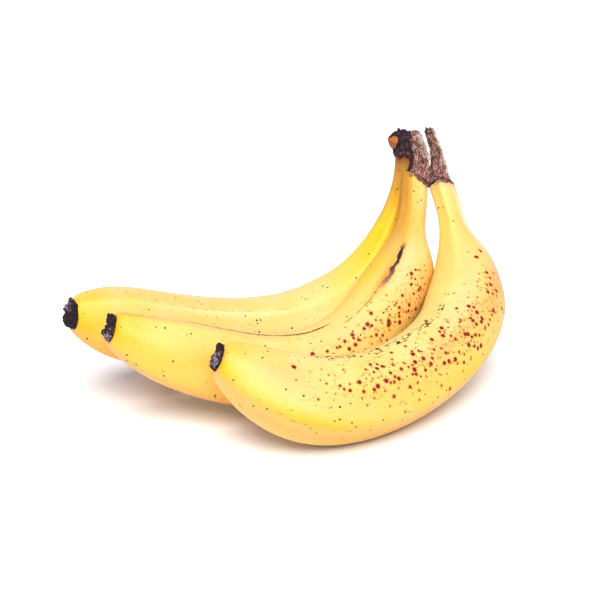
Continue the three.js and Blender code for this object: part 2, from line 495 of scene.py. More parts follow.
class PeelShader(Shader):
    """Material of one finger's peel: it knows where on the finger each point lies."""

    # How far a scuff's line wanders and how ragged its edge is, in widths, and how its width
    # goes with the cloudy pattern.
    WANDER = 2.2
    RAGGED = 1.4
    WIDENING = 1.8
    THINNEST = 0.1
    # Share of the finger's length over which a line fades out, and sizes in millimetres.
    FADE = 0.02
    STREAK_WIDTH = 1.0
    STREAK_LENGTH = 12.0
    STREAKED_RADIUS = 15.0
    DASH_LENGTH = 3.4
    DASH_WIDTH = 0.85

    def __init__(self, name: str, length: float) -> None:
        """Starts the material and reads where on the finger each point lies.

        Args:
            name: The material's name.
            length: Length of the finger's centreline in millimetres.
        """
        super().__init__(name)
        self.length = length
        self.along = self.add(Node.ATTRIBUTE, output="Fac", attribute_name="along")
        self.girth = self.add(Node.ATTRIBUTE, output="Fac", attribute_name="girth")
        section = self.add(Node.ATTRIBUTE, output="Vector", attribute_name="section")
        self.cosine = section.into(Node.SPLIT_VECTOR)
        self.sine = self.cosine.other("Y")
        self.angle = self.sine.into(Node.MATH, self.cosine, operation="ARCTAN2")

    def turned(self, degrees: float) -> Field:
        """Angle round the section, measured from one that is given in degrees."""
        return (self.angle - math.radians(degrees)).wrapped()

    def zone(self, patch: Patch) -> Field:
        """Marks a soft patch on the peel.

        Args:
            patch: Its place, size and strength.

        Returns:
            Its strength in the middle, and 0 far away.
        """
        lengthwise = (self.along - patch.along) * (1 / patch.reach)
        sideways = self.turned(patch.round) * (1 / math.radians(patch.spread))
        return lengthwise.bell() * sideways.bell() * patch.strength

    def stretch(self, start: float, end: float) -> Field:
        """1 between two fractions of the length, with a short fade at each end of them."""
        begun = self.along.step(start - self.FADE, start + self.FADE)
        return begun * self.along.step(end + self.FADE, end - self.FADE)

    def streaks(self) -> Field:
        """Draws a faint grain along the finger.

        Returns:
            A pattern about 0.5.
        """
        round_it = [side * (self.STREAKED_RADIUS * MM) for side in (self.cosine, self.sine)]
        run = self.along * (self.length / self.STREAK_LENGTH * MM)
        return self.clouds(self.add(Node.JOIN_VECTOR, (*round_it, run)), self.STREAK_WIDTH)

    def scuff_and_shade_line(self, scuff_and_shade: ScuffAndShadeLine) -> Field:
        """Draws a ragged line of changing width, with gaps: a scuff, and also painted crease shade.

        Args:
            scuff_and_shade: Its place and size.

        Returns:
            scuff_and_shade: Its place and size.
        """
        wide = scuff_and_shade.width * MM
        wander = (self.mottle(9.0, 1.0) - 0.5) * (self.WANDER * wide)
        ragged = (self.mottle(1.4, 3.0) - 0.5) * (self.RAGGED * wide)
        line = self.turned(scuff_and_shade.round) * self.girth + wander + ragged
        width = (self.mottle(4.0, 1.0) * self.WIDENING + self.THINNEST) * wide
        whole = line.into(Node.MATH, operation="ABSOLUTE").step(width, width * 0.5)
        kept = self.mottle(3.0, 2.0, scuff_and_shade.broken, scuff_and_shade.broken + 0.12)
        return whole * kept * self.stretch(scuff_and_shade.start, scuff_and_shade.end) * scuff_and_shade.strength

    def dashed(self, dashes: Dashes) -> Field:
        """Draws short marks beside a ridge.

        Args:
            dashes: Their place and number.

        Returns:
            1 on a mark and 0 elsewhere.
        """
        away = self.turned(dashes.round) * self.girth
        wide = dashes.width * MM
        near = away.into(Node.MATH, operation="ABSOLUTE").step(wide, 0.3 * wide)
        at = self.add(Node.JOIN_VECTOR, (self.along * (self.length / self.DASH_LENGTH * MM), away))
        level = near * (-0.25 * dashes.share) + 0.79
        mark = self.clouds(at, self.DASH_WIDTH, 1.0, (level, level + 0.05))
        return mark * self.stretch(dashes.start, dashes.end)


# Living skin under a thin coat of wax. The wax gives wide satin highlights, the flesh under the
# skin lets light sink in and come back warm, and ageing shows as freckles with orange halos.
# Its pores are drawn as relief about 0.5 mm wide, coarser than they are, so that they show.
@dataclass(frozen=True)
class RipePeel:
    """Ripe banana peel, waxy and freckled brown where it over-ripens.

    Args:
        seed: Picks the places of its spots.
        tints: Colours laid over zones of it.
        freckles: Zones where large freckles crowd.
        scuff_and_shade_lines: Rubbed lines, and lines of painted shade in creases.
        dashes: Fine marks beside its ridges.
        collar: Length of the dried neck in millimetres.
        collar_side: The side where it is driest, in degrees round the section.
        collar_spread: How far round it reaches.
        yellow: Ground colour.
        mottling: Paler and deeper blotches on it.
        grain: Colour of the faint streaks.
        halo: Colour round a freckle.
        core: Colour at a large freckle's middle.
        dash: Colour of the fine marks.
        withered: Colour of the dried neck.
        worn: Blotches on it.
        relief: Height of its pores and streaks in millimetres.
        roughness: Least roughness of the wax.
        ior: Index of refraction of the wax.
        glow: Share of the light that sinks in.
        glow_depth: How deep it goes, in millimetres.
    """

    seed: float = 0.0
    tints: tuple[Tint, ...] = ()
    freckles: tuple[Patch, ...] = ()
    scuff_and_shade_lines: tuple[ScuffAndShadeLine, ...] = ()
    dashes: tuple[Dashes, ...] = ()
    collar: float = 2.0
    collar_side: float = -95.0
    collar_spread: float = 62.0
    yellow: str = "#dfbc68"
    mottling: tuple[Blotches, ...] = (
        Blotches("#e0c17a", 22.0, 2, 0.42, 0.68),
        Blotches("#e0b850", 13.0, 2, 0.55, 0.8, 0.5),
        Blotches("#d2a648", 5.0, 4, 0.56, 0.72, 0.35),
        Blotches("#e0b850", 2.4, 3, 0.5, 0.75, 0.45),
    )
    grain: str = "#cf9430"
    halo: str = "#dc8c3c"
    core: str = "#5c1206"
    dash: str = "#3e2c10"
    withered: str = "#42201f"
    worn: Blotches = Blotches("#744438", 1.5, 3, 0.48, 0.72)
    relief: float = 0.12
    roughness: float = 0.45
    ior: float = 1.42
    glow: float = 0.06
    glow_depth: float = 2.0

    BIG = Spots("#80240c", spacing=2.6, smallest=0.45, largest=1.3)
    MIDDLING = Spots("#8a3412", spacing=1.7, smallest=0.25, largest=0.6, share=0.9)
    DOTS = Spots("#33280c", spacing=2.3, smallest=0.2, largest=0.6, share=0.95)
    FLECKS = Spots("#8c7430", spacing=1.8, smallest=0.16, largest=0.34, share=0.85)
    HALO_GROWTH = 1.5
    SMALL_HALO_GROWTH = 1.6
    HALO_SHARE = 0.45
    CORE_GROWTH = 0.6
    CORE_SHARE = 0.85
    # Where spots crowd: size, layers and levels of a cloudy pattern, then the share of places
    # that hold one where it shows in full, and everywhere.
    FLECK_CLOUDS = (26.0, 2.0, 0.3, 0.7)
    FLECK_DENSITY = (0.7, 0.35)
    DOT_CLOUDS = (11.0, 2.0, 0.42, 0.66)
    DOT_DENSITY = (0.85, 0.12)
    DOTTED_FROM = (0.2, 0.5)
    # Sizes in millimetres and strengths of what varies over the whole peel.
    DRIFT_SIZE, DRIFT = 9.0, 0.5
    GLOSS_SIZE, GLOSS_DRIFT = 6.0, 0.12
    PORE_SIZE, PORE_HEIGHT = 0.5, 0.2
    STREAK_LEVELS, STREAK_SHARE, STREAK_HEIGHT = (0.6, 0.9), 0.25, 0.3
    MARK_DEPTH = 0.5
    COLLAR_RAGGED, COLLAR_EDGE, COLLAR_SHARE = 1.6, (1.2, 0.7), 0.95

    def material(self, place: str, length: float) -> bpy.types.Material:
        """Builds the peel's material for one finger.

        Args:
            place: The finger's place in the bunch.
            length: The finger's length in millimetres.

        Returns:
            The material.
        """
        shader = PeelShader(f"ripe_banana_peel_{place}", length)
        drift = (shader.mottle(self.DRIFT_SIZE) - 0.5) * self.DRIFT
        zones = [(tint.colour, shader.zone(tint.patch)) for tint in self.tints]
        streaks = shader.streaks()
        marks = [(self.dash, shader.dashed(dashes)) for dashes in self.dashes]
        marks += [(scuff_and_shade.colour, shader.scuff_and_shade_line(scuff_and_shade)) for scuff_and_shade in self.scuff_and_shade_lines]
        coats = [
            *shader.blotched(*self.mottling),
            *((colour, (zone + zone * drift).clamped()) for colour, zone in zones),
            (self.grain, streaks.step(*self.STREAK_LEVELS) * self.STREAK_SHARE),
            *self.spotting(shader),
            self.withered_neck(shader),
            *marks,
        ]
        pores = shader.mottle(self.PORE_SIZE, 3.0)
        height = streaks * self.STREAK_HEIGHT + pores * self.PORE_HEIGHT
        for _, mark in marks:
            height = height - mark * self.MARK_DEPTH
        rough = shader.mottle(self.GLOSS_SIZE) * self.GLOSS_DRIFT + self.roughness
        waxy = {"Subsurface Weight": self.glow, "Subsurface Scale": self.glow_depth * MM}
        colour = shader.painted(self.yellow, coats)
        return shader.finish(colour, height, self.relief, rough, self.ior, **waxy)

    def spotting(self, shader: PeelShader) -> list[Coat]:
        """Scatters flecks, freckles with their halos and cores, and dots.

        Args:
            shader: The material that gets them.

        Returns:
            A coat for each.
        """
        crowded, least = self.FLECK_DENSITY
        everywhere = shader.mottle(*self.FLECK_CLOUDS) * crowded + least
        coats: list[Coat] = [(self.FLECKS.colour, shader.spots(self.FLECKS, everywhere, self.seed))]
        if self.freckles:
            crowd: Field | float = 0.0
            for patch in self.freckles:
                crowd = shader.zone(patch) + crowd
            halos = shader.spots(self.BIG, crowd, self.seed, self.HALO_GROWTH)
            small_halos = shader.spots(self.MIDDLING, crowd, self.seed, self.SMALL_HALO_GROWTH)
            halos = (halos + small_halos / self.MIDDLING.share).clamped()
            coats.append((self.halo, halos * self.HALO_SHARE))
            for kind in (self.MIDDLING, self.BIG):
                coats.append((kind.colour, shader.spots(kind, crowd, self.seed)))
            cores = shader.spots(self.BIG, crowd, self.seed, self.CORE_GROWTH)
            coats.append((self.core, cores * self.CORE_SHARE))
        rich = shader.mottle(*self.DOT_CLOUDS) * shader.along.step(*self.DOTTED_FROM)
        crowded, least = self.DOT_DENSITY
        dots = shader.spots(self.DOTS, rich * crowded + least, self.seed)
        return [*coats, (self.DOTS.colour, dots)]

    def withered_neck(self, shader: PeelShader) -> Coat:
        """Dries the skin where the neck meets the crown, with a ragged edge.

        Args:
            shader: The material that gets it.

        Returns:
            Its coat.
        """
        ragged = (shader.mottle(1.8, 3.0) - 0.5) * (self.COLLAR_RAGGED * self.collar)
        edge = [self.collar * share for share in self.COLLAR_EDGE]
        dried = (shader.along * shader.length + ragged).step(*edge)
        outer = shader.turned(self.collar_side) * (1 / math.radians(self.collar_spread))
        skin = shader.painted(self.withered, shader.blotched(self.worn))
        return skin, dried * (outer * outer).bell() * self.COLLAR_SHARE


# Dead flower tissue, shrunken and cracked. It is matt and near black, so it swallows light, and its
# lilac-grey crusts, which also carry painted glints, are the only pale points on it.
@dataclass(frozen=True)
class DriedFlower:
    """Dried remains of the flower."""

    name: str = "dried_banana_flower"
    dark: str = "#140a0c"
    brown: Blotches = Blotches("#341814", 1.8, 4, 0.45, 0.65)
    crust_and_glints: str = "#857688"
    relief: float = 0.5
    roughness: float = 0.75
    ior: float = 1.35

    def material(self) -> bpy.types.Material:
        """Builds the material.

        Returns:
            The material.
        """
        shader = Shader(self.name)
        crust_glint_share = shader.add(Node.ATTRIBUTE, output="Fac", attribute_name="crust_and_glints")
        # Lilac-grey crust on one side of the stub: partly its own crust, partly painted glints.
        patchy = shader.mottle(0.9, 4.0) + (crust_glint_share - 0.5) * 0.5
        coats = [*shader.blotched(self.brown), (self.crust_and_glints, patchy.step(0.68, 0.8) * 0.8)]
        colour, height = shader.painted(self.dark, coats), shader.mottle(0.6, 5.0)
        return shader.finish(colour, height, self.relief, self.roughness, self.ior)


# Dried stalk, shrunken skin outside and ripped pith inside. The skin is purple-black with worn
# rosy edges, and the pith is paler and streaked along its strands, so the tear reads at once.
@dataclass(frozen=True)
class DriedStalk:
    """Dried stalk of the crown, with its torn face, its lip at the peel and its cut scar."""

    name: str = "dried_banana_stalk"
    skin: str = "#190a12"
    worn: Blotches = Blotches("#5a3440", 1.6, 4, 0.5, 0.72, 0.7)
    pith: str = "#5e3830"
    pale_pith: str = "#b08a7c"
    gaps: tuple[Blotches, ...] = (
        Blotches("#2c120e", 1.0, 3, 0.48, 0.36),
        Blotches("#2c120e", 3.4, 2, 0.52, 0.36, 0.6),
    )
    wool: str = "#d8cec2"
    lip: str = "#3a1824"
    worn_lip: Blotches = Blotches("#84525a", 1.8, 3, 0.48, 0.7)
    scar: str = "#a8632e"
    dark_scar: Blotches = Blotches("#6c3a20", 1.2, 4, 0.5, 0.7)
    relief: float = 0.3
    roughness: float = 0.7
    ior: float = 1.35

    EDGE_SIZE, EDGE_WANDER, EDGE_LEVELS = 1.3, 0.7, (0.4, 0.6)
    STRAND_WIDTH, STRAND_LEVELS = 0.6, (0.5, 0.66)

    def material(self) -> bpy.types.Material:
        """Builds the material.

        Returns:
            The material.
        """
        shader = Shader(self.name)
        grain = shader.add(Node.ATTRIBUTE, output="Vector", attribute_name="grain_place")
        torn = shader.add(Node.ATTRIBUTE, output="Fac", attribute_name="torn")
        fibres = shader.clouds(grain, self.STRAND_WIDTH, 3.0)
        strands = (self.pale_pith, fibres.step(*self.STRAND_LEVELS))
        pith = shader.painted(self.pith, [strands, *shader.blotched(*self.gaps)])
        lip = shader.painted(self.lip, shader.blotched(self.worn_lip))
        scar = shader.painted(self.scar, shader.blotched(self.dark_scar))
        coats = shader.blotched(self.worn)
        for tone, name, share in (
            (pith, "torn", 1.0),
            (self.wool, "wool", 1.0),
            (self.skin, "ends", 0.9),
            (lip, "lip", 0.9),
            (scar, "scar", 1.0),
        ):
            coats.append((tone, self.ragged(shader, name) * share))
        height = fibres * 0.7 + shader.mottle(0.4, 3.0) * 0.3
        colour = shader.painted(self.skin, coats)
        rough = torn * 0.2 + self.roughness
        return shader.finish(colour, height, self.relief, rough, self.ior)

    def ragged(self, shader: Shader, name: str) -> Field:
        """Gives a zone of the crown a ragged edge.

        Args:
            shader: The material that gets it.
            name: The zone's attribute.

        Returns:
            1 in the zone and 0 outside.
        """
        zone = shader.add(Node.ATTRIBUTE, output="Fac", attribute_name=name)
        wander = (shader.mottle(self.EDGE_SIZE, 3.0) - 0.5) * self.EDGE_WANDER
        return (zone + wander).step(*self.EDGE_LEVELS)


# Loose vessel strands of the torn pith. They are dry and matt, from cream to reddish brown, and
# break the tear up into fine light and dark lines.
@dataclass(frozen=True)
class TornFibre:
    """Dry strand of pith, with a share of rosy and of dark ones."""

    name: str
    pale: str
    rosy: str
    dark: str
    relief: float = 0.05
    roughness: float = 0.7
    ior: float = 1.5

    def material(self) -> bpy.types.Material:
        """Builds the material.

        Returns:
            The material.
        """
        shader = Shader(self.name)
        shade = shader.add(Node.ATTRIBUTE, output="Fac", attribute_name="shade")
        gloom = shader.mottle(3.4, 2.0, 0.52, 0.36) * 0.75
        coats = [
            (self.rosy, shade.step(0.25, 0.6)),
            (self.dark, (shade.step(0.75, 0.9) + gloom).clamped()),
        ]
        colour, height = shader.painted(self.pale, coats), shader.mottle(0.3)
        return shader.finish(colour, height, self.relief, self.roughness, self.ior)


# White paper of a studio's sweep. It is matt and all but flat, so it shows no highlight
# and only the bunch's soft shadow.
@dataclass(frozen=True)
class SweepPaper:
    """White uncoated paper."""

    name: str = "white_sweep_paper"
    white: str = "#f4f4f4"
    tone: str = "#f0f0f1"
    relief: float = 0.01
    roughness: float = 0.9
    ior: float = 1.4

    def material(self) -> bpy.types.Material:
        """Builds the material.

        Returns:
            The material.
        """
        shader = Shader(self.name)
        colour = shader.painted(self.white, [(self.tone, shader.mottle(240.0) * 0.5)])
        height = shader.mottle(1.5)
        return shader.finish(colour, height, self.relief, self.roughness, self.ior)


# ---- Making meshes ----


class Recipe(Tree):
    """A Geometry Nodes tree with named inputs, and the mesh that it makes of an object."""

    SOCKETS = {
        float: "NodeSocketFloat",
        int: "NodeSocketInt",
        Vector: "NodeSocketVector",
    }

    def __init__(self, name: str, inputs: dict[str, object]) -> None:
        """Starts a tree with a geometry, a material and the given named inputs.

        Args:
            name: The tree's name.
            inputs: Each input's name and its value.
        """
        super().__init__(bpy.data.node_groups.new(name, "GeometryNodeTree"))
        self.tree.is_modifier = True
        face = self.tree.interface
        face.new_socket("Geometry", in_out="OUTPUT", socket_type="NodeSocketGeometry")
        face.new_socket("Geometry", in_out="INPUT", socket_type="NodeSocketGeometry")
        face.new_socket("Material", in_out="INPUT", socket_type="NodeSocketMaterial")
        self.ids = {"Material": face.items_tree["Material"].identifier}
        self.values = inputs
        for label, value in inputs.items():
            made = face.new_socket(label, in_out="INPUT", socket_type=self.SOCKETS[type(value)])
            self.ids[label] = made.identifier
        self.entry = self.add(Node.GROUP_INPUT)

    def __getitem__(self, label: str) -> Field:
        """The field of a named input."""
        return self.entry.other(label)

    def close(self, geometry: Field) -> None:
        """Ends the tree: real faces, and the material on all of them."""
        inputs = {"Geometry": geometry.into(Node.REALIZE), "Material": self["Material"]}
        self.add(Node.SET_MATERIAL, inputs).into(Node.GROUP_OUTPUT)

    def make(
        self, name: str, base: bpy.types.Mesh, material: bpy.types.Material
    ) -> bpy.types.Object:
        """Runs the tree on a mesh and keeps the result as a plain mesh object.

        Args:
            name: The new object's name.
            base: The mesh that the tree starts from.
            material: The finish of the result.

        Returns:
            The object, with no modifier left.
        """
        carrier = put_in_scene(f"{name}_base", base)
        modifier = carrier.modifiers.new(self.tree.name, "NODES")
        modifier.node_group = self.tree
        modifier[self.ids["Material"]] = material
        for label, value in self.values.items():
            modifier[self.ids[label]] = tuple(value) if isinstance(value, Vector) else value
        made = baked(name, carrier)
        bpy.data.objects.remove(carrier)
        return made


def put_in_scene(name: str, mesh: bpy.types.Mesh) -> bpy.types.Object:
    """Puts a mesh in the scene.

    Args:
        name: The new object's name.
        mesh: Its mesh.

    Returns:
        The object, linked to the scene.
    """
    made = bpy.data.objects.new(name, mesh)
    bpy.context.scene.collection.objects.link(made)
    return made


def baked(name: str, source: bpy.types.Object) -> bpy.types.Object:
    """Keeps what an object's modifiers make as a plain mesh.

    Args:
        name: The new object's name.
        source: The object with the modifiers.

    Returns:
        The new object.
    """
    bpy.context.view_layer.update()
    graph = bpy.context.evaluated_depsgraph_get()
    mesh = bpy.data.meshes.new_from_object(source.evaluated_get(graph), depsgraph=graph)
    mesh.name = name
    return put_in_scene(name, mesh)


def joined_up(
    name: str,
    points: Sequence[Vector],
    edges: Iterable[tuple[int, ...]] = (),
    faces: Iterable[tuple[int, ...]] = (),
) -> bpy.types.Mesh:
    """Joins points up as a mesh.

    Args:
        name: The mesh's name.
        points: Its points.
        edges: Its loose edges, as point numbers.
        faces: Its faces, as point numbers.

    Returns:
        The mesh.
    """
    mesh = bpy.data.meshes.new(name)
    mesh.from_pydata(points, list(edges), list(faces))
    return mesh


def smooth(mesh: bpy.types.Mesh, crease: float = 50.0) -> None:
    """Shades a mesh smooth, but for edges sharper than `crease` degrees."""
    mesh.shade_smooth()
    mesh.set_sharp_from_angle(angle=math.radians(crease))


def give(mesh: bpy.types.Mesh, name: str, values: Sequence) -> None:
    """Stores a number or a Vector for each point of a mesh.

    Args:
        mesh: The mesh.
        name: The attribute's name.
        values: One number, or one Vector, for each point.
    """
    if isinstance(values[0], Vector):
        made = mesh.attributes.new(name, "FLOAT_VECTOR", "POINT")
        made.data.foreach_set("vector", [part for value in values for part in value])
    else:
        made = mesh.attributes.new(name, "FLOAT", "POINT")
        made.data.foreach_set("value", values)


def stand_for(piece: bpy.types.Object, slot: str, *nodes: str) -> None:
    """Makes a piece ride with the bunch in place of CAD nodes.

    Args:
        piece: The finished piece.
        slot: The record's material slot of its finish; not used.
        *nodes: The CAD nodes that it stands for.
    """
    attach(piece, "root")
    if nodes:
        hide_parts(*nodes)
    LOG.info("%s: %d faces", piece.name, len(piece.data.polygons))


def towards(azimuth: float, elevation: float) -> Vector:
    """Direction of a heading.

    Args:
        azimuth: Degrees from +X round by +Y.
        elevation: Degrees above the level.

    Returns:
        The unit vector.
    """
    turn, rise = math.radians(azimuth), math.radians(elevation)
    level = math.cos(rise)
    return Vector((level * math.cos(turn), level * math.sin(turn), math.sin(rise)))


def between(stations: Sequence[float], place: float) -> float:
    """Reads a row of values between its stations.

    Args:
        stations: The value at each station.
        place: Where to read, with the first station at 0 and the second at 1.

    Returns:
        The value there.
    """
    station = min(int(place), len(stations) - 2)
    share = place - station
    return stations[station] * (1 - share) + stations[station + 1] * share


# ---- Fingers ----


class Place(Enum):
    """The fingers' places in the bunch."""

    BACK = "back"
    MIDDLE = "middle"
    FRONT = "front"


@dataclass(frozen=True)
class PeelForm:
    """What the shapes of all fingers share.

    Args:
        tip_radius: Radius of the peel's end at the tip.
        taper_power: How late the body narrows to it.
        neck_slant_side: The side where a slanted neck reaches furthest.
        tip_slant: How much further the tip's end reaches on the inside of the bend.
        slant_reach: Share of the length that a slanted end pulls along.
        knee_side: The side where the bend swells.
        ridge_count: Number of ridges.
        ridge_step: Degrees from one ridge to the next.
        ridge_width: Half width of a ridge, in degrees.
        neck_ridge: Height of the ridges at the neck, as a share of the radius.
        body_ridge: The same on the body.
        tip_ridge: The same at the tip.
        crest_share: Height of the fine crest on each ridge, as a share of the ridge's.
        crest_width: Half width of that crest, in degrees.
        unevenness: How far the peel sinks in places.
        uneven_size: Width of those places.
        level: Value of the cloudy pattern where the peel doesn't sink.
        tuck: How far the neck reaches into the crown.
        end_rounding: Share of the length over which the tip's edge is rounded.
        weld: Points nearer than this are one.
        stations: Rings along the finger.
        sides: Points round each.
    """

    tip_radius: float = 6.8
    taper_power: float = 3.3
    neck_slant_side: float = 30.0
    tip_slant: float = 1.4
    slant_reach: float = 0.1
    knee_side: float = -145.0
    ridge_count: int = 5
    ridge_step: float = 63.0
    ridge_width: float = 19.0
    neck_ridge: float = 0.12
    body_ridge: float = 0.045
    tip_ridge: float = 0.08
    crest_share: float = 0.3
    crest_width: float = 7.0
    unevenness: float = 0.35
    uneven_size: float = 16.0
    level: float = 0.7
    tuck: float = 0.6
    end_rounding: float = 0.012
    weld: float = 0.002
    stations: int = 300
    sides: int = 120

    @property
    def mean_ridge(self) -> float:
        """Mean height of the ridges round the section, as a share of one ridge's height."""
        return self.ridge_count * math.sqrt(math.pi) * self.ridge_width / 360

    def crests(self, first: float) -> list[float]:
        """Angles of the ridges, in radians, from the first one's in degrees."""
        return [math.radians(first + ridge * self.ridge_step) for ridge in range(self.ridge_count)]


@dataclass
class Finger:
    """One banana: it leaves the crown along one heading and arrives at its tip along another.

    Args:
        place: Its place in the bunch.
        leaves: Heading at the neck, as azimuth and elevation.
        arrives: Heading at the tip.
        bend: How sharply it bends at seven even stations.
        length: Length of the centreline.
        body_radius: Radius of the body.
        neck_radius: Radius of the neck.
        shoulder: Fractions of the length between which the neck widens.
        taper: Fraction of the length where the body starts to narrow.
        end_narrowing: Share of the tip's radius that its rounded end loses.
        first_ridge: Angle of the first ridge round the section.
        neck_inset: How far the neck's middle lies inside its node's box, along X and Y.
        tip_reach: How far the peel is drawn out at the tip, under the dried stub.
        peel: Its finish.
        neck_cut: How far the neck's end is set back.
        neck_slant: Rise of the neck's slanted end.
        knee_at: Fraction of the length between the hollow and the swelling of the knee.
        knee_reach: Half length of each, as a fraction of the length.
        knee_height: How strong they are.
        form: What all fingers share.
        neck: Middle of the neck in metres, which build finds.
    """

    place: Place
    leaves: tuple[float, float]
    arrives: tuple[float, float]
    bend: tuple[float, ...]
    length: float
    body_radius: float
    neck_radius: float
    shoulder: tuple[float, float]
    taper: float
    end_narrowing: float
    first_ridge: float
    neck_inset: tuple[float, float]
    tip_reach: float
    peel: RipePeel
    neck_cut: float = 0.0
    neck_slant: float = 0.0
    knee_at: float = 0.165
    knee_reach: float = 0.06
    knee_height: float = 2.0
    form: PeelForm = field(default_factory=PeelForm)
    neck: Vector = field(default_factory=Vector)

    # Legs of the centreline.
    STEPS = 180

    @property
    def plane_normal(self) -> Vector:
        """Normal of the plane that the finger bends in."""
        return towards(*self.leaves).cross(towards(*self.arrives)).normalized()

    def centreline(self) -> list[Vector]:
        """Bends the middle line from the one heading to the other.

        Returns:
            Points along it from the neck on, in metres.
        """
        start = towards(*self.leaves)
        turn = start.angle(towards(*self.arrives))
        turned = [0.0]
        for step in range(self.STEPS):
            place = (step + 0.5) / self.STEPS * (len(self.bend) - 1)
            turned.append(turned[-1] + between(self.bend, place))
        points = [self.neck.copy()]
        for step in range(self.STEPS):
            share = (turned[step] + turned[step + 1]) / (2 * turned[-1])
            way = Matrix.Rotation(turn * share, 3, self.plane_normal) @ start
            points.append(points[-1] + way * (self.length * MM / self.STEPS))
        return points

    def build(self) -> bpy.types.Object:
        """Makes the peel, moves it onto its CAD node and dresses it.

        Returns:
            The finished piece.
        """
        place = self.place.value
        material = self.peel.material(place, self.length)
        edges = [(step, step + 1) for step in range(self.STEPS)]
        base = joined_up(f"centreline_{place}", self.centreline(), edges)
        piece = PeelRecipe(self).make(f"peel_{place}", base, material)
        low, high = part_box(f"finger_{place}")
        lowest = min(corner[2] for corner in piece.bound_box)
        inset = Vector((*self.neck_inset, 0.0)) * MM
        self.neck = Vector((high[0] - inset.x, high[1] - inset.y, low[2] - lowest))
        piece.data.transform(Matrix.Translation(self.neck))
        smooth(piece.data)
        stand_for(piece, "peel", f"finger_{place}")
        return piece


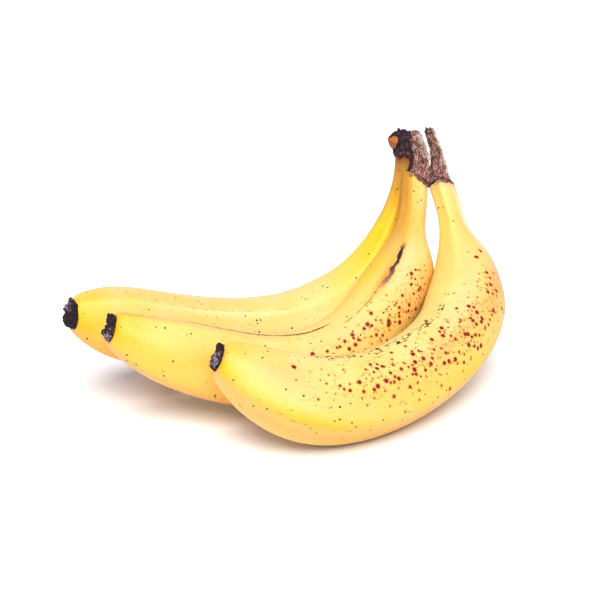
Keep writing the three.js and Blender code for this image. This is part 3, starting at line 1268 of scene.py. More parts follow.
class PeelRecipe(Recipe):
    """Geometry Nodes tree that sweeps a finger's ridged section along its centreline."""

    def __init__(self, finger: Finger) -> None:
        """Builds the tree.

        Args:
            finger: The finger that it makes.
        """
        self.finger = finger
        self.form = form = finger.form
        millimetres = {
            "Body Radius": finger.body_radius,
            "Neck Radius": finger.neck_radius,
            "Tip Radius": form.tip_radius,
            "Neck Cut": finger.neck_cut - form.tuck,
            "Neck Slant": finger.neck_slant,
            "Tip Slant": form.tip_slant,
            "Tip Reach": finger.tip_reach,
            "Knee Height": finger.knee_height,
            "Unevenness": form.unevenness,
        }
        others = {
            "Plane Normal": finger.plane_normal,
            "Shoulder Start": finger.shoulder[0],
            "Shoulder End": finger.shoulder[1],
            "Taper Start": finger.taper,
            "Taper Power": form.taper_power,
            "Knee At": finger.knee_at,
            "Knee Reach": finger.knee_reach,
            "End Narrowing": finger.end_narrowing,
            "Neck Ridge": form.neck_ridge,
            "Body Ridge": form.body_ridge,
            "Tip Ridge": form.tip_ridge,
            "Stations": form.stations,
            "Sides": form.sides,
        }
        inputs = {label: value * MM for label, value in millimetres.items()}
        super().__init__(f"finger_{finger.place.value}", {**inputs, **others})

        flat = self.add(Node.POSITION).into(Node.SPLIT_VECTOR)
        row, column = flat + 0.5, flat.other("Y") + 0.5
        raw = (row * (self["Stations"] + 1.0) - 1.0) / (self["Stations"] - 1.0)
        self.along = raw.clamped()
        # The first and the last row of the grid shrink to a point, which closes the two ends.
        self.skin = raw.into(Node.MATH, self.along, 0.5 / form.stations, operation="COMPARE")
        self.angle = column * TURN
        self.cosine = self.angle.into(Node.MATH, operation="COSINE")
        self.sine = self.angle.into(Node.MATH, operation="SINE")
        self.tapered = self.along - self["Taper Start"]
        self.tapered = (self.tapered / (1.0 - self["Taper Start"])).clamped()
        self.widened = self.along.step(self["Shoulder Start"], self["Shoulder End"])
        self.close(self.uneven(self.swept()))

    def swept(self) -> Field:
        """Sweeps a grid round the centreline and stores where on the peel each point lies.

        Returns:
            The closed skin.
        """
        size = {"Vertices X": self["Stations"] + 2.0, "Vertices Y": self["Sides"] + 1.0}
        mesh = self.add(Node.GRID, {"Size X": 1.0, "Size Y": 1.0, **size})
        line = self["Geometry"].into(Node.MESH_TO_CURVE)
        place = self.add(Node.SAMPLE_CURVE, {"Curves": line, "Factor": self.along}, "Position")
        travel, normal = place.other("Tangent"), self["Plane Normal"]
        inside = normal.into(Node.VECTOR_MATH, travel, operation="CROSS_PRODUCT")
        girth = self.girth()
        radius = self.radius(girth) * self.skin
        for way, reach in (
            (inside, radius * self.cosine),
            (normal, radius * self.sine),
            (travel, self.end_shift() * self.skin),
        ):
            place = way.into(Node.VECTOR_MATH, reach, place, operation="MULTIPLY_ADD")
        section = self.add(Node.JOIN_VECTOR, (self.cosine, self.sine, 0.0))
        for name, value, kind in (
            ("along", self.along, "FLOAT"),
            ("girth", girth, "FLOAT"),
            ("section", section, "FLOAT_VECTOR"),
        ):
            inputs = {"Geometry": mesh, "Name": name, "Value": value}
            mesh = self.add(Node.STORE, inputs, data_type=kind)
        mesh = self.add(Node.SET_POSITION, {"Geometry": mesh, "Position": place})
        return self.add(Node.MERGE, {"Geometry": mesh, "Distance": self.form.weld * MM})

    def girth(self) -> Field:
        """Widens the neck over the shoulder and narrows the body to the tip.

        Returns:
            The section's mean radius in metres.
        """
        body = self["Neck Radius"] + (self["Body Radius"] - self["Neck Radius"]) * self.widened
        narrowing = self.tapered ** self["Taper Power"]
        return body - (self["Body Radius"] - self["Tip Radius"]) * narrowing

    def radius(self, girth: Field) -> Field:
        """Gives the section its blunt ridges and the knee of the bend.

        Args:
            girth: The section's mean radius in metres.

        Returns:
            The radius at each angle, in metres.
        """
        form = self.form
        height = self["Neck Ridge"] + (self["Body Ridge"] - self["Neck Ridge"]) * self.widened
        height = height + (self["Tip Ridge"] - self["Body Ridge"]) * self.tapered
        lift: Field | float = -form.mean_ridge
        for crest in form.crests(self.finger.first_ridge):
            away = (self.angle - crest).wrapped()
            broad = (away * (1 / math.radians(form.ridge_width))).bell()
            sharp = (away * (1 / math.radians(form.crest_width))).bell() * form.crest_share
            lift = broad + sharp + lift
        knee = (self.along - self["Knee At"]) / self["Knee Reach"]
        side = (self.angle - math.radians(form.knee_side)).into(Node.MATH, operation="COSINE")
        facing = side.into(Node.MATH, 0.0, operation="MAXIMUM")
        swelling = self["Knee Height"] * knee * knee.bell() * facing
        edge = (1.0 - (1.0 - self.along) * (1 / form.end_rounding)).clamped()
        rounded = 1.0 - self["End Narrowing"] * (1.0 - (1.0 - edge * edge) ** 0.5)
        return (girth * (height * lift + 1.0) + swelling) * rounded

    def end_shift(self) -> Field:
        """Slants the two ends.

        Returns:
            How far each point moves along the finger, in metres.
        """
        form = self.form
        near_neck = (1.0 - self.along * (1 / form.slant_reach)).clamped()
        near_tip = (1.0 - (1.0 - self.along) * (1 / form.slant_reach)).clamped()
        side = self.angle - math.radians(form.neck_slant_side)
        at_neck = self["Neck Cut"] - self["Neck Slant"] * side.into(Node.MATH, operation="COSINE")
        at_tip = self["Tip Reach"] + self["Tip Slant"] * self.cosine
        return at_neck * near_neck + at_tip * near_tip

    def uneven(self, mesh: Field) -> Field:
        """Sinks the peel a little, more in some places than in others.

        Args:
            mesh: The closed skin.

        Returns:
            The uneven skin.
        """
        sunk = self.clouds(self.add(Node.POSITION), self.form.uneven_size) - self.form.level
        depth = sunk * self["Unevenness"]
        offset = self.add(Node.NORMAL).into(Node.VECTOR_MATH, depth, operation="MULTIPLY")
        return self.add(Node.SET_POSITION, {"Geometry": mesh, "Offset": offset})


# ---- Dried flower stubs ----


@dataclass
class BlossomEnd:
    """Dried stub of the flower at a finger's tip: a crumpled collar round a sunken dish.

    Args:
        finger: The finger that carries it.
        finish: Its material.
        seed: Picks its folds.
        thick: Mean height of its rim, in millimetres.
        lean: How much higher the rim stands on one side.
        lean_side: That side, in degrees round the section.
        crust_and_glints_side: The side with the pale crust and its painted glints.
        sides: Points round it.
        steps: Rings from one point of the profile to the next.
        folding: How far its folds draw it in and out, as a share of its reach.
        crumpling: The same for its fine crumples.
        heave: How far its folds raise the rim, in millimetres.
        crumple_heave: The same for its fine crumples.
    """

    finger: Finger
    finish: DriedFlower
    seed: int
    thick: float
    lean: float
    lean_side: float
    crust_and_glints_side: float
    sides: int = 144
    steps: int = 5
    folding: float = 0.24
    crumpling: float = 0.1
    heave: float = 1.2
    crumple_heave: float = 0.3

    # Profile from under the peel's end up to the rim and down into the dish: shares of the
    # rim's height and of the peel's end radius. The pale crust, with its painted glints, starts at
    # its point CRUST_AND_GLINTS_FROM.
    HEIGHTS = (-0.15, 0.0, 0.22, 0.52, 0.82, 1.0, 0.95, 0.7, 0.55, 0.6, 0.64)
    REACHES = (0.8, 0.98, 1.0, 0.97, 0.88, 0.74, 0.58, 0.46, 0.32, 0.18, 0.07)
    CRUST_AND_GLINTS_FROM = 2

    def build(self) -> bpy.types.Object:
        """Makes the stub over its CAD node.

        Returns:
            The finished piece.
        """
        mesh = self.shell()
        smooth(mesh, crease=70.0)
        mesh.materials.append(self.finish.material())
        piece = put_in_scene(mesh.name, mesh)
        stand_for(piece, "dried_flower", f"blossom_end_{self.finger.place.value}")
        return piece

    def tip_radius(self, angle: float) -> float:
        """Reads the peel's ridged end.

        Args:
            angle: Angle round the section, in radians.

        Returns:
            Its radius there, in millimetres.
        """
        form = self.finger.form
        lift = -form.mean_ridge
        for crest in form.crests(self.finger.first_ridge):
            away = math.remainder(angle - crest, TURN) / math.radians(form.ridge_width)
            lift += math.exp(-(away**2))
        return form.tip_radius * (1 + form.tip_ridge * lift)

    def shell(self) -> bpy.types.Mesh:
        """Makes the stub with its folds, its ragged rim, and its crust with painted glints.

        Returns:
            A closed mesh.
        """
        line = self.finger.centreline()
        outward = (line[-1] - line[-2]).normalized()
        normal = self.finger.plane_normal
        inside = normal.cross(outward)
        points: list[Vector] = []
        crust_and_glints: list[float] = []
        rows = (len(self.HEIGHTS) - 1) * self.steps + 1
        for row in range(rows):
            place = row / self.steps
            height, scale = between(self.HEIGHTS, place), between(self.REACHES, place)
            for side in range(self.sides):
                angle = side * TURN / self.sides
                reach, rise = self.folded(angle, height, scale)
                across = inside * math.cos(angle) + normal * math.sin(angle)
                out = rise + self.finger.tip_reach
                points.append(line[-1] + (across * reach + outward * out) * MM)
                facing = 0.5 + 0.5 * math.cos(angle - math.radians(self.crust_and_glints_side))
                crust_and_glints.append(facing if row > self.CRUST_AND_GLINTS_FROM * self.steps else 0.0)
        name = f"flower_stub_{self.finger.place.value}"
        mesh = joined_up(name, points, faces=tube_faces(rows, self.sides))
        give(mesh, "crust_and_glints", crust_and_glints)
        return mesh

    def folded(self, angle: float, height: float, scale: float) -> tuple[float, float]:
        """Place of a point of the collar once it has shrivelled.

        Args:
            angle: Its angle round the section, in radians.
            height: Its place up the profile, 0 at the peel and 1 at the rim.
            scale: Its reach, as a share of the peel's end.

        Returns:
            How far out and how far along the finger it lies, in millimetres.
        """
        round_it = Vector((math.cos(angle), math.sin(angle), 0))
        fold = noise.fractal(round_it * 1.5 + Vector((0, 0, self.seed + height * 0.3)), 1, 2, 3)
        crumple = noise.fractal(round_it * 5 * scale + Vector((0, 0, self.seed + height)), 1, 2, 4)
        free = max(0.0, height)
        shrunk = (1 - self.finger.end_narrowing) * (
            1 + self.folding * fold * free + self.crumpling * crumple
        )
        reach = self.tip_radius(angle) * scale * shrunk
        rim = self.thick + self.lean * math.cos(angle - math.radians(self.lean_side))
        rise = height * (rim + self.heave * fold) + self.crumple_heave * crumple * free
        return reach, rise + self.finger.form.tip_slant * scale * math.cos(angle)


def tube_faces(rows: int, sides: int) -> Iterable[tuple[int, ...]]:
    """Faces of a closed tube of rings, with a flat cap on each end.

    Args:
        rows: Number of rings.
        sides: Points in each.

    Returns:
        The faces, as point numbers.
    """
    for row in range(rows - 1):
        for side in range(sides):
            near, far = row * sides, (row + 1) * sides
            after = (side + 1) % sides
            yield (near + side, near + after, far + after, far + side)
    yield tuple(reversed(range(sides)))
    yield tuple((rows - 1) * sides + side for side in range(sides))


# ---- Crown ----


class Part(Enum):
    """The stalks and the knob that make up the crown."""

    BACK = "back"
    KNOB = "knob"
    MIDDLE = "middle"
    FRONT = "front"


@dataclass(frozen=True)
class Stalk:
    """Line that a part of the crown follows, in millimetres from the neck that it grows on.

    Args:
        part: Which part it is.
        place: The finger whose neck it starts from.
        way: Points of the line.
        half_widths: Half width of its front at the first and the last point.
        torn_from: Where the torn face starts across it at each point, from -1 at its left to 1.
    """

    part: Part
    place: Place
    way: tuple[tuple[float, float, float], ...]
    half_widths: tuple[float, float]
    torn_from: tuple[float, ...]


@dataclass(frozen=True)
class OnStalk:
    """Where a point of the crown lies on its stalk.

    Args:
        part: The stalk's part of the crown.
        way: The stalk's direction there.
        side: How far across its front, from -1 at the left edge to 1.
        up: How far up it, from 0 to 1.
        torn_from: Where across it the torn face starts there.
    """

    part: Part
    way: Vector
    side: float
    up: float
    torn_from: float


# Where a torn face starts on a stalk that has none, and on one that is torn right across.
NOWHERE, EVERYWHERE = 3.0, -3.0


@dataclass
class Crown:
    """Dried stalks of the three fingers, torn where the bunch was parted from its stem.

    Args:
        necks: The middle of each finger's neck, in metres.
        peels: The three peels.
        finish: Its material.
        stalks: Its parts.
        weld: Points of the solid nearer than this are one.
        voxel: Size of the mesh's faces.
        softening: Rounds of smoothing over them.
        lip: Width of the violet lip at the peels.
        scar_reach: Radius of the knob's cut end.
        scar_edge: Width of its soft edge.
        scar_tilt: How far the cut leans back, in degrees.
        nub: Middle of the small bump beside the front neck, from that neck.
        nub_width: Reach of its swelling.
        groove: Width of the grooves in the torn face.
        wrinkle: Width of the wrinkles in the skin.
        jag: How far the torn tops stand up and sink.
        stretch: How much longer than wide the grain is.
        across: Direction from the left to the right of a stalk's front.
        looks: Direction that the front faces.
    """

    necks: dict[Place, Vector]
    peels: list[bpy.types.Object]
    finish: DriedStalk
    stalks: tuple[Stalk, ...] = (
        Stalk(
            Part.BACK,
            Place.BACK,
            ((0, -0.8, -0.6), (-0.5, 1.2, 3.4), (0, 2.7, 6.9), (0.4, 3.7, 9.8)),
            (5.2, 3.6),
            (NOWHERE,) * 4,
        ),
        Stalk(
            Part.KNOB,
            Place.BACK,
            ((-0.3, 1.7, 6.6), (-3.3, 3.2, 6.9), (-6.3, 3.7, 6.5)),
            (5.0, 3.6),
            (NOWHERE,) * 3,
        ),
        Stalk(
            Part.MIDDLE,
            Place.MIDDLE,
            ((-0.1, 0, -0.8), (4.5, 2, 4.7), (7.9, 5.2, 9.2), (8.1, 10.5, 14.2), (9.9, 14.5, 18.5)),
            (4.8, 4.8),
            (-0.75, -0.7, -0.6, -0.25, -0.5),
        ),
        Stalk(
            Part.FRONT,
            Place.FRONT,
            ((-0.4, -1.5, -2.4), (3.3, 5.1, 4.5), (7.2, 11.8, 12.5), (9.8, 19.1, 19.8)),
            (5.0, 2.2),
            (EVERYWHERE,) * 4,
        ),
    )
    weld: float = 0.001
    voxel: float = 0.28
    softening: int = 5
    lip: float = 1.3
    scar_reach: float = 3.4
    scar_edge: float = 0.4
    scar_tilt: float = 42.0
    nub: tuple[float, float, float] = (-3.6, 0.6, -2.2)
    nub_width: float = 1.4
    groove: float = 0.9
    wrinkle: float = 1.8
    jag: float = 1.5
    stretch: float = 8.0
    across: Vector = field(default_factory=lambda: Vector((0.777, -0.629, 0.0)))
    looks: Vector = field(default_factory=lambda: Vector((-0.63, -0.77, 0.0)))

    # Fades between the kinds of surface: where each starts to show and where it shows in full.
    # First distances in millimetres, then places across and up a stalk, then facings.
    KNOTTED = (2.6, 1.8)
    CUT_NEAR = (8.0, 5.0)
    CUT_DEPTH = (0.1, 0.3)
    TORN_EDGE = (-0.15, 0.15)
    WOOL_SIDE = (0.5, 0.75)
    WOOL_UP = (0.4, 0.55)
    FRAY_LEFT = (0.55, 0.7)
    FRAY_RIGHT = (1.0, 0.85)
    FRAY_UP = (0.1, 0.3)
    TOP = (0.84, 0.94)
    JAGGED_TOP = (0.86, 1.0)
    TOP_FACING = (0.1, 0.5)
    TORN_FACING = (-0.35, 0.0)
    SCAR_FACING = (0.7, 0.85)
    FRAY = 0.8
    # How far the reliefs stand out, in millimetres.
    SKIN_GROOVE = 0.12
    TORN_GROOVE = 0.45
    WRINKLE_HEIGHT = 0.25
    TORN_DEPTH = 0.2
    LIP_HEIGHT = 0.3
    SCAR_DEPTH = 0.35
    NUB_HEIGHT = 1.1

    def build(self) -> None:
        """Makes the crown's body and its loose fibres."""
        body = self.sculpt()
        body.data.materials.clear()
        body.data.materials.append(self.finish.material())
        stand_for(body, "dried_stalk", "crown")
        for strands in STRANDS:
            stand_for(strands.build(body.data), "dried_stalk")

    def even_mesh(self) -> bpy.types.Object:
        """Lays a fine, even mesh over the crown's solid.

        Returns:
            The mesh as an object of its own.
        """
        source = put_in_scene("crown_source", frame["nodes"]["crown"].data.copy())
        weld = source.modifiers.new("weld", "WELD")
        weld.merge_threshold = self.weld * MM
        remesh = source.modifiers.new("even", "REMESH")
        remesh.mode = "VOXEL"
        remesh.voxel_size = self.voxel * MM
        soft = source.modifiers.new("soft", "SMOOTH")
        soft.iterations = self.softening
        body = baked("crown_body", source)
        bpy.data.objects.remove(source)
        return body

    def sculpt(self) -> bpy.types.Object:
        """Works the skin, the torn face, the scar and the lip into the mesh.

        Returns:
            The crown's body, with a number for each of these at each point.
        """
        body = self.even_mesh()
        mesh = body.data
        graph = bpy.context.evaluated_depsgraph_get()
        peels = [BVHTree.FromObject(peel, graph) for peel in self.peels]
        layers: dict[str, list] = {}
        moves: list[Vector] = []
        for vertex in mesh.vertices:
            cut = self.cut_back(vertex.co)
            point, normal = vertex.co + cut, vertex.normal
            on = self.nearest(point)
            near_peel = min(tree.find_nearest(point)[3] for tree in peels) / MM
            zones = self.zones(point, normal, cut, on, near_peel)
            along = point.dot(on.way)
            flat = point - on.way * along
            squeezed = flat + on.way * (along / self.stretch)
            for name, value in {**zones, "grain": on.way, "grain_place": squeezed}.items():
                layers.setdefault(name, []).append(value)
            jagged = noise.noise(flat / (self.groove * MM)) * self.jag
            jagged *= stepped(on.up, *self.JAGGED_TOP) * (on.part is not Part.KNOB)
            depth = self.depth(point, squeezed, **zones)
            moves.append(cut + normal * (depth * MM) + on.way * (jagged * MM))
        for vertex, move in zip(mesh.vertices, moves):
            vertex.co += move
        for name, values in layers.items():
            give(mesh, name, values)
        smooth(mesh, crease=80.0)
        return body

    def zones(
        self, point: Vector, normal: Vector, cut: Vector, on: OnStalk, near_peel: float
    ) -> dict[str, float]:
        """How much of each kind of surface there is at a point, from 0 to 1.

        Args:
            point: The point, in metres.
            normal: The mesh's normal there.
            cut: How the slanted cut moved the point.
            on: Where it lies on its stalk.
            near_peel: Its distance from the nearest peel, in millimetres.

        Returns:
            A number for each zone's name.
        """
        front = on.part is Part.FRONT
        middle = on.part is Part.MIDDLE
        facing = normal.dot(self.looks)
        reach = self.lip * (1 + 0.8 * max(0.0, -on.side) * middle)
        knotted = stepped(self.from_nub(point), *self.KNOTTED)
        lip = max(stepped(near_peel, reach * 1.3, reach * 0.7), knotted)
        scar = self.scar_at(point, normal, cut)
        ends = stepped(on.up, *self.TOP) * (front or middle)
        ends *= stepped(facing + normal.dot(on.way), *self.TOP_FACING)
        torn = stepped(on.side - on.torn_from, *self.TORN_EDGE) * (1 - lip) * (1 - scar)
        torn *= stepped(facing, *self.TORN_FACING)
        wool = stepped(on.side, *self.WOOL_SIDE) * stepped(on.up, *self.WOOL_UP) * middle
        fray = stepped(on.side, *self.FRAY_LEFT) * stepped(on.side, *self.FRAY_RIGHT)
        fray *= stepped(on.up, *self.FRAY_UP) * front
        wool = (wool + self.FRAY * fray) * (1 - ends)
        return {"torn": torn, "scar": scar, "lip": lip, "wool": wool, "ends": ends}

    def depth(
        self, point: Vector, squeezed: Vector, torn: float, scar: float, lip: float, **_: float
    ) -> float:
        """How far a point stands out, in millimetres.

        Args:
            point: The point, in metres.
            squeezed: The point with its grain squeezed short.
            torn: Share of torn face there.
            scar: Share of cut scar.
            lip: Share of the lip at the peel.
            **_: The zones that leave the relief alone.

        Returns:
            The distance along the normal.
        """
        groove = noise.fractal(squeezed / (self.groove * MM), 1, 2, 3)
        wrinkle = noise.fractal(point / (self.wrinkle * MM), 1, 2, 3)
        depth = groove * (self.SKIN_GROOVE + self.TORN_GROOVE * torn)
        depth += wrinkle * self.WRINKLE_HEIGHT * (1 - torn) - self.TORN_DEPTH * torn
        depth += self.LIP_HEIGHT * lip - self.SCAR_DEPTH * scar
        return depth + self.NUB_HEIGHT * math.exp(-((self.from_nub(point) / self.nub_width) ** 2))

    def from_nub(self, point: Vector) -> float:
        """Distance of a point from the nub, in millimetres."""
        return (point - (self.necks[Place.FRONT] + Vector(self.nub) * MM)).length / MM

    @property
    def knob_end(self) -> Vector:
        """Middle of the knob's cut end."""
        knob = next(stalk for stalk in self.stalks if stalk.part is Part.KNOB)
        return self.necks[knob.place] + Vector(knob.way[-1]) * MM

    def cut_back(self, point: Vector) -> Vector:
        """Cuts the top of the knob's end off at a slant.

        Args:
            point: A point of the solid, in metres.

        Returns:
            How the point moves.
        """
        out = towards(180.0, self.scar_tilt)
        above = (point - self.knob_end).dot(out)
        near = stepped((point - self.knob_end).length / MM, *self.CUT_NEAR)
        return out * (-max(0.0, above) * near)

    def scar_at(self, point: Vector, normal: Vector, cut: Vector) -> float:
        """Marks the cut end of the knob, inside its dark rim.

        Args:
            point: The point, in metres.
            normal: The mesh's normal there.
            cut: How the slanted cut moved the point.

        Returns:
            1 on the cut end and 0 elsewhere.
        """
        away = (point - self.knob_end).length / MM
        near = stepped(away, self.scar_reach, self.scar_reach - self.scar_edge)
        flat = stepped(-normal.x, *self.SCAR_FACING)
        return near * max(flat, stepped(cut.length / MM, *self.CUT_DEPTH))

    def nearest(self, point: Vector) -> OnStalk:
        """Finds the stalk that a point belongs to.

        Args:
            point: The point, in metres.

        Returns:
            Where on that stalk it lies.
        """
        best, found = math.inf, None
        for stalk in self.stalks:
            line = [self.necks[stalk.place] + Vector(step) * MM for step in stalk.way]
            for order, (start, end) in enumerate(zip(line, line[1:])):
                leg = end - start
                share = min(1.0, max(0.0, (point - start).dot(leg) / leg.length_squared))
                away = point - (start + leg * share)
                up = (order + share) / (len(line) - 1)
                width = between(stalk.half_widths, up)
                if away.length / width < best:
                    best = away.length / width
                    side = away.dot(self.across) / (width * MM)
                    torn_from = between(stalk.torn_from, order + share)
                    found = OnStalk(stalk.part, leg.normalized(), side, up, torn_from)
        return found


def stepped(value: float, low: float, high: float) -> float:
    """Smooth step from 0 at `low` to 1 at `high`; it falls where `low` is the higher."""
    share = min(1.0, max(0.0, (value - low) / (high - low)))
    return share * share * (3 - 2 * share)


@dataclass(frozen=True)
class Strands:
    """Loose strands scattered over one zone of the crown.

    Args:
        name: The piece's name.
        zone: The crown's attribute that says where they grow.
        finish: Their material.
        per_area: Strands on a square millimetre.
        length: Length of the longest, in millimetres.
        radius: Radius in millimetres, about twice a real strand's so that it shows.
        stray: How far each may turn away from the grain, in degrees.
        raised: How far they stand up from the surface, in degrees.
        rooted: Share of their length behind the root.
        seed: Picks their places.
        shortest: Share of the longest one's length.
        sway: How far they wave, in millimetres.
        lift: How far their root stands out.
        bow: How far their ends bow down.
        waves: Number of waves along each.
        joints: Points along each.
        corners: Corners of its section.
    """

    name: str
    zone: str
    finish: TornFibre
    per_area: float
    length: float
    radius: float
    stray: float
    raised: float
    rooted: float
    seed: int
    shortest: float = 0.35
    sway: float = 0.12
    lift: float = 0.05
    bow: float = 1.2
    waves: float = 1.5
    joints: int = 7
    corners: int = 4

    # Values of the zone where strands start to grow and where they grow in full.
    GROWTH = (0.4, 0.8)
    # Numbers of the random node's sockets for plain numbers.
    LOWEST, HIGHEST, NUMBER = 2, 3, 1

    def build(self, surface: bpy.types.Mesh) -> bpy.types.Object:
        """Scatters the strands over a mesh.

        Args:
            surface: The crown's mesh, with its attributes.

        Returns:
            The strands as one piece.
        """
        recipe = Recipe(
            self.name,
            {
                "Per Area": self.per_area / MM**2,
                "Strand Length": self.length * MM,
                "Strand Radius": self.radius * MM,
                "Stray": math.radians(self.stray),
                "Raised": math.radians(self.raised),
                "Rooted": self.rooted,
                "Seed": self.seed,
            },
        )
        zone = recipe.add(Node.NAMED, {"Name": self.zone}, data_type="FLOAT")
        inputs = {
            "Mesh": recipe["Geometry"],
            "Density": recipe["Per Area"] * zone.step(*self.GROWTH),
            "Seed": recipe["Seed"],
        }
        points = recipe.add(Node.SCATTER, inputs, "Points")
        upright = recipe.add(Node.ALIGN, {"Vector": points.other("Normal")}, axis="Z")
        grain = recipe.add(Node.NAMED, {"Name": "grain"}, data_type="FLOAT_VECTOR")
        inputs = {"Rotation": upright, "Vector": grain}
        lying = recipe.add(Node.ALIGN, inputs, axis="X", pivot_axis="Z")
        ranges = (
            (recipe["Stray"] * -1.0, recipe["Stray"]),
            (recipe["Raised"] * -1.0, 0.0),
            (self.shortest, 1.0),
            (0.0, 1.0),
        )
        drawn: list[Field] = []
        for order, (low, high) in enumerate(ranges, start=1):
            inputs = {self.LOWEST: low, self.HIGHEST: high, "Seed": self.seed + order}
            drawn.append(recipe.add(Node.RANDOM, inputs, self.NUMBER, data_type="FLOAT"))
        stray, raised, length, shade = drawn
        turn = recipe.add(Node.JOIN_VECTOR, (0.0, raised, stray)).into(Node.EULER)
        rotation = lying.into(Node.TURN_BY, turn, rotation_space="LOCAL")
        inputs = {"Geometry": points, "Name": "shade", "Value": shade}
        shaded = recipe.add(Node.STORE, inputs, data_type="FLOAT")
        inputs = {
            "Points": shaded,
            "Instance": self.strand(recipe),
            "Rotation": rotation,
            "Scale": recipe.add(Node.JOIN_VECTOR, (length, 1.0, 1.0)),
        }
        recipe.close(recipe.add(Node.INSTANCE, inputs))
        made = recipe.make(self.name, surface.copy(), self.finish.material())
        smooth(made.data, crease=60.0)
        return made

    def strand(self, recipe: Recipe) -> Field:
        """Makes one strand, a thin tube that waves a little and bows down to the surface.

        Args:
            recipe: The tree that gets it.

        Returns:
            The strand, lying along X.
        """
        start = recipe["Strand Length"] * recipe["Rooted"] * -1.0
        ends = {"Start": start, "End": recipe["Strand Length"] + start}
        inputs = {end: recipe.add(Node.JOIN_VECTOR, [place]) for end, place in ends.items()}
        line = recipe.add(Node.LINE, inputs)
        line = recipe.add(Node.RESAMPLE, {"Curve": line, "Count": self.joints})
        along = recipe.add(Node.ALONG_CURVE)
        wave = (along * (self.waves * TURN)).into(Node.MATH, operation="SINE") * (self.sway * MM)
        away = along - recipe["Rooted"]
        bow = self.lift * MM - away * away * (self.bow * MM)
        offset = recipe.add(Node.JOIN_VECTOR, (0.0, wave, bow))
        line = recipe.add(Node.SET_POSITION, {"Geometry": line, "Offset": offset})
        ring = recipe.add(Node.CIRCLE, {"Resolution": self.corners, "Radius": recipe["Strand Radius"]})
        inputs = {"Curve": line, "Profile Curve": ring, "Fill Caps": True}
        return recipe.add(Node.CURVE_TO_MESH, inputs)


STRANDS = (
    Strands(
        name="crown_fibres",
        zone="torn",
        finish=TornFibre("torn_banana_pith", "#dcb4a4", "#945850", "#34140f"),
        per_area=1.6,
        length=4.0,
        radius=0.07,
        stray=38,
        raised=8,
        rooted=0.5,
        seed=7,
    ),
    Strands(
        name="crown_wool",
        zone="wool",
        finish=TornFibre("frayed_banana_pith", "#dcd2c6", "#bca898", "#806a5c"),
        per_area=12.0,
        length=2.8,
        radius=0.08,
        stray=70,
        raised=50,
        rooted=0.25,
        seed=31,
    ),
    Strands(
        name="crown_bristles",
        zone="ends",
        finish=TornFibre("dry_banana_vessels", "#8c7466", "#3c2420", "#160c0e"),
        per_area=1.6,
        length=2.2,
        radius=0.09,
        stray=40,
        raised=20,
        rooted=0.2,
        seed=53,
    ),
)


# ---- Studio ----


@dataclass
class Studio:
    """White sweep, a soft light and the camera round the bunch.

    Azimuths and elevations say where a thing stands, as seen from the bunch, from +X round by +Y.

    Args:
        cad: The CAD model's box.
        aim: The point that the camera looks at, from the middle of that box.
        roll: How far the camera is turned about its line of sight.
        floor_half: Half the width of the sweep.
        sky: Strength of the light from all round.
        lamp_softness: How wide the lamp looks from the bunch.
    """

    cad: tuple[Vector, Vector]
    aim: tuple[float, float, float] = (-10.2, 5.0, -6.6)
    azimuth: float = -129.26
    elevation: float = 21.36
    roll: float = 0.68
    distance: float = 486.0
    lens: float = 69.6
    clip_start: float = 10.0
    floor_half: float = 8000.0
    sky: float = 0.5
    sky_colour: str = "#ece2fa"
    lamp_azimuth: float = -129.0
    lamp_elevation: float = 56.0
    lamp_softness: float = 45.0
    lamp_strength: float = 4.7
    lamp_colour: str = "#fffdf8"

    def build(self) -> None:
        """Makes the floor, the lights and the camera."""
        self.floor(self.cad[0].z)
        self.light()
        self.camera((self.cad[0] + self.cad[1]) / 2)

    def stood(self, data: bpy.types.ID, way: Vector, roll: float = 0.0) -> bpy.types.Object:
        """Stands a lamp or a camera up.

        Args:
            data: The lamp or the camera.
            way: Direction that it stands in, which it looks back along.
            roll: How far it is turned about that line, in degrees.

        Returns:
            Its object, linked to the scene.
        """
        made = bpy.data.objects.new(data.name, data)
        turned = way.to_track_quat("Z", "Y").to_matrix() @ Matrix.Rotation(math.radians(roll), 3, "Z")
        made.rotation_euler = turned.to_euler()
        bpy.context.scene.collection.objects.link(made)
        return made

    def floor(self, level: float) -> None:
        """Lays white paper under the bunch.

        Args:
            level: Its height in metres.
        """
        half = self.floor_half * MM
        sides = ((-half, -half), (half, -half), (half, half), (-half, half))
        mesh = joined_up("sweep", [(*side, level) for side in sides], faces=[(0, 1, 2, 3)])
        mesh.materials.append(SweepPaper().material())
        put_in_scene("sweep", mesh)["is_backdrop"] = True

    def light(self) -> None:
        """Even white surroundings and one wide softbox in front."""
        world = bpy.data.worlds.new("white_surroundings")
        world.use_nodes = True
        background = world.node_tree.nodes["Background"]
        background.inputs["Color"].default_value = linear(self.sky_colour)
        background.inputs["Strength"].default_value = self.sky
        bpy.context.scene.world = world
        lamp = bpy.data.lights.new("front_softbox", "SUN")
        lamp.energy = self.lamp_strength
        lamp.angle = math.radians(self.lamp_softness)
        lamp.color = linear(self.lamp_colour)[:3]
        self.stood(lamp, towards(self.lamp_azimuth, self.lamp_elevation))

    def camera(self, middle: Vector) -> None:
        """Puts the camera at the height and side that show the three fingers fanned out.

        Args:
            middle: Middle of the CAD model's box, in metres.
        """
        data = bpy.data.cameras.new("camera")
        data.lens = self.lens
        data.clip_start = self.clip_start * MM
        back = towards(self.azimuth, self.elevation)
        camera = self.stood(data, back, self.roll)
        camera.location = middle + (Vector(self.aim) + back * self.distance) * MM
        bpy.context.scene.camera = camera
        bpy.context.scene.view_settings.view_transform = "Standard"


# ---- The bunch ----

# Spread of a tint that reaches all round the section.
ALL_ROUND = 400

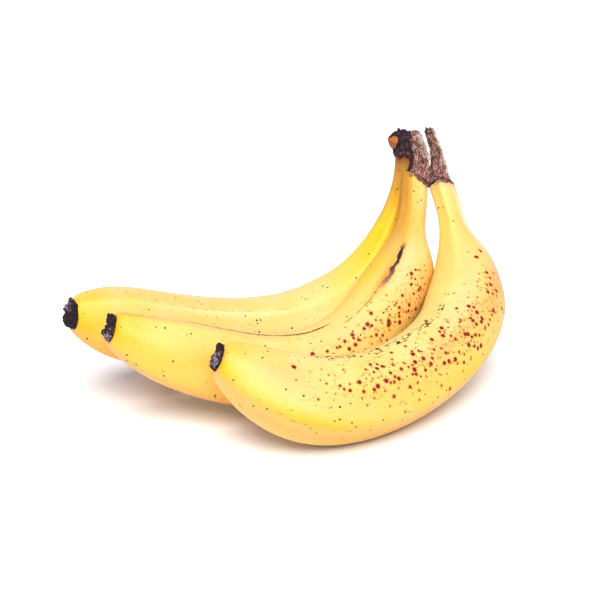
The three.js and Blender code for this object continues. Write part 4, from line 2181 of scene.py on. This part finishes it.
BACK_PEEL = RipePeel(
    seed=1.3,
    tints=(
        Tint("#e0b818", Patch(0.18, -8, 0.17, ALL_ROUND, 0.95)),
        Tint("#dcb400", Patch(0.21, -50, 0.08, 34, 0.9)),
        Tint("#d8a014", Patch(0.075, 0, 0.055, ALL_ROUND, 0.9)),
        Tint("#bc8000", Patch(0.14, -74, 0.07, 16)),
        Tint("#9c6608", Patch(0.0, 0, 0.07, ALL_ROUND)),
        Tint("#c49840", Patch(0.13, 14, 0.06, 11, 0.8)),
        Tint("#98805a", Patch(0.05, 24, 0.08, 15)),
        Tint("#dcc8a0", Patch(0.16, 36, 0.06, 11, 0.8)),
        Tint("#5a2c14", Patch(0.0, -20, 0.018, 60, 0.9)),
        Tint("#e2cb8a", Patch(0.5, -72, 0.14, 16, 0.8)),
        Tint("#dccc88", Patch(0.7, 4, 0.28, 19)),
        Tint("#d2a400", Patch(1.0, -105, 0.06, 52)),
        Tint("#dcb028", Patch(0.99, -50, 0.045, 60, 0.9)),
        Tint("#e0a034", Patch(0.93, -160, 0.08, 30, 0.9)),
        Tint("#dc9434", Patch(0.6, 180, 0.3, 30)),
        # Pale narrow band along the lower ridge: painted highlight.
        Tint("#e8d49a", Patch(0.68, -46, 0.2, 6, 0.6)),
    ),
    scuff_and_shade_lines=(
        ScuffAndShadeLine(22, 0.225, 0.285, 0.5, "#3c2418", 0.25),
        ScuffAndShadeLine(-41, 0.52, 0.84, 0.22, "#a0803c", 0.42, 0.8),
    ),
)

MIDDLE_PEEL = RipePeel(
    seed=2.1,
    tints=(
        Tint("#dcae50", Patch(0.12, -74, 0.13, 22, 0.9)),
        Tint("#dcb820", Patch(0.27, -6, 0.12, 34, 0.95)),
        Tint("#d6a034", Patch(0.1, -50, 0.13, 15)),
        # Ochre on the neck's side that lies against the back finger: partly the peel's own ochre,
        # partly painted crease shade.
        Tint("#c88c1c", Patch(0.06, -24, 0.14, 24)),
        Tint("#aa7008", Patch(0.06, 22, 0.15, 38)),
        Tint("#985f06", Patch(0.0, 22, 0.04, 40, 0.8)),
        Tint("#dfba80", Patch(0.24, -73, 0.09, 13, 0.9)),
        # Darker narrow band along the upper ridge: painted shade on the facet above it.
        Tint("#c88420", Patch(0.3, -50, 0.07, 8)),
        Tint("#d8a65a", Patch(0.31, -108, 0.08, 22, 0.8)),
        Tint("#c87c08", Patch(0.26, -150, 0.08, 24)),
        Tint("#dab058", Patch(0.43, -104, 0.1, 22, 0.6)),
        Tint("#dab474", Patch(0.5, -64, 0.13, 24, 0.7)),
        Tint("#dccc74", Patch(0.66, -22, 0.26, 20, 0.95)),
        Tint("#e4ac1c", Patch(0.74, -148, 0.08, 34, 0.95)),
        Tint("#d8a040", Patch(0.8, -105, 0.06, 24, 0.9)),
        Tint("#dc9434", Patch(0.6, 180, 0.3, 26)),
        Tint("#dcb03c", Patch(0.9, -135, 0.07, 45, 0.9)),
        Tint("#d2a600", Patch(1.0, -95, 0.06, 80)),
        Tint("#cf9448", Patch(0.75, -72, 0.018, 8, 0.5)),
    ),
    freckles=(
        Patch(0.29, -108, 0.06, 28, 1.2),
        Patch(0.38, -96, 0.07, 24, 1.1),
        Patch(0.47, -84, 0.05, 17, 1.1),
        Patch(0.54, -80, 0.04, 8, 0.9),
    ),
    scuff_and_shade_lines=(
        ScuffAndShadeLine(-54, 0.19, 0.31, 1.7, "#c89058", 0.2, 0.3),
        ScuffAndShadeLine(-54, 0.185, 0.285, 1.0, "#230c0e", 0.2),
        ScuffAndShadeLine(-54, 0.26, 0.32, 1.2, "#5c3038", 0.2, 0.8),
        # Dark line in the crease where this neck lies against the back finger's neck: painted crease
        # shade.
        ScuffAndShadeLine(36, 0.0, 0.13, 0.7, "#6e4708", 0.2, 0.75),
        ScuffAndShadeLine(-50, 0.33, 0.48, 0.3, "#8a6428", 0.36),
        # Brown line along the crease where the back finger lies against this one: painted crease
        # shade.
        ScuffAndShadeLine(-30, 0.5, 0.86, 1.1, "#8a4c14", 0.22),
    ),
)

FRONT_PEEL = RipePeel(
    seed=3.7,
    tints=(
        Tint("#deae5a", Patch(0.1, -80, 0.11, 26, 0.9)),
        Tint("#e0c65c", Patch(0.14, -10, 0.13, 32, 0.9)),
        Tint("#dcd078", Patch(0.38, -6, 0.2, 32, 0.95)),
        Tint("#dccc7e", Patch(0.64, -26, 0.2, 15, 0.9)),
        Tint("#e8d8b4", Patch(0.12, -120, 0.1, 13, 0.9)),
        Tint("#b09c5c", Patch(0.05, 40, 0.1, 15, 0.9)),
        Tint("#a8806a", Patch(0.0, -85, 0.018, 50, 0.8)),
        Tint("#dcb478", Patch(0.38, -64, 0.17, 17, 0.8)),
        Tint("#d89a50", Patch(0.33, -108, 0.08, 17, 0.85)),
        Tint("#d89c60", Patch(0.27, -134, 0.06, 16, 0.8)),
        Tint("#d6a05a", Patch(0.48, -91, 0.14, 12, 0.85)),
        Tint("#dfac50", Patch(0.66, -112, 0.2, 20, 0.8)),
        Tint("#e0b42c", Patch(0.54, -140, 0.15, 22, 0.85)),
        Tint("#e0b024", Patch(0.84, -150, 0.13, 12, 0.95)),
        Tint("#de9c38", Patch(0.5, 180, 0.4, 20)),
        Tint("#d4a660", Patch(0.9, -100, 0.07, 24, 0.85)),
        Tint("#dcac04", Patch(1.0, -142, 0.05, 30)),
        Tint("#d8b038", Patch(0.99, -80, 0.03, 50, 0.8)),
    ),
    freckles=(
        Patch(0.34, -100, 0.08, 24, 0.5),
        Patch(0.45, -94, 0.09, 24, 1.0),
        Patch(0.6, -96, 0.13, 28, 1.0),
        Patch(0.74, -86, 0.08, 32, 0.6),
    ),
    dashes=(Dashes(-44, 0.42, 0.84, 3.4, 1.0), Dashes(-158, 0.6, 0.9, 3.0, 0.45)),
)

FINGERS = (
    Finger(
        place=Place.BACK,
        leaves=(-130, -80.5),
        arrives=(170, 22),
        bend=(34, 19, 43, 24, 10, 4, 4),
        length=212,
        body_radius=15.6,
        neck_radius=5.0,
        shoulder=(0.04, 0.45),
        taper=0.82,
        end_narrowing=0.12,
        first_ridge=-42,
        neck_inset=(4.94, 25.84),
        tip_reach=1.2,
        peel=BACK_PEEL,
    ),
    Finger(
        place=Place.MIDDLE,
        leaves=(-132.5, -51.5),
        arrives=(148.5, 31.5),
        bend=(4, 26, 20, 37, 26, 6, 21),
        length=200,
        body_radius=15.3,
        neck_radius=5.7,
        shoulder=(0.05, 0.3),
        taper=0.66,
        neck_cut=-1.75,
        neck_slant=2.75,
        knee_at=0.16,
        knee_height=3.4,
        end_narrowing=0.24,
        first_ridge=-53,
        neck_inset=(5.0, 7.67),
        tip_reach=0.2,
        peel=MIDDLE_PEEL,
    ),
    Finger(
        place=Place.FRONT,
        leaves=(-112.5, -40),
        arrives=(134, 32.5),
        bend=(2, 8, 42, 17, 18, 43, 9),
        length=207,
        body_radius=16.9,
        neck_radius=5.4,
        shoulder=(0.07, 0.34),
        taper=0.69,
        neck_cut=2.3,
        end_narrowing=0.28,
        first_ridge=-42,
        neck_inset=(4.32, 2.33),
        tip_reach=1.9,
        peel=FRONT_PEEL,
    ),
)


def main() -> None:
    """Builds the bunch piece by piece, then the studio round it."""
    logging.basicConfig(level=logging.INFO, format="%(message)s")
    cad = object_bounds()
    peels = [finger.build() for finger in FINGERS]
    back, middle, front = FINGERS
    stub = DriedFlower()
    BlossomEnd(back, stub, seed=4, thick=2.5, lean=0.8, lean_side=190, crust_and_glints_side=30).build()
    BlossomEnd(middle, stub, seed=9, thick=2.4, lean=0.3, lean_side=200, crust_and_glints_side=190).build()
    BlossomEnd(front, stub, seed=17, thick=2.5, lean=0.5, lean_side=250, crust_and_glints_side=200).build()
    necks = {finger.place: finger.neck for finger in FINGERS}
    Crown(necks, peels, DriedStalk()).build()
    Studio(cad).build()


if __name__ == "__main__":
    main()
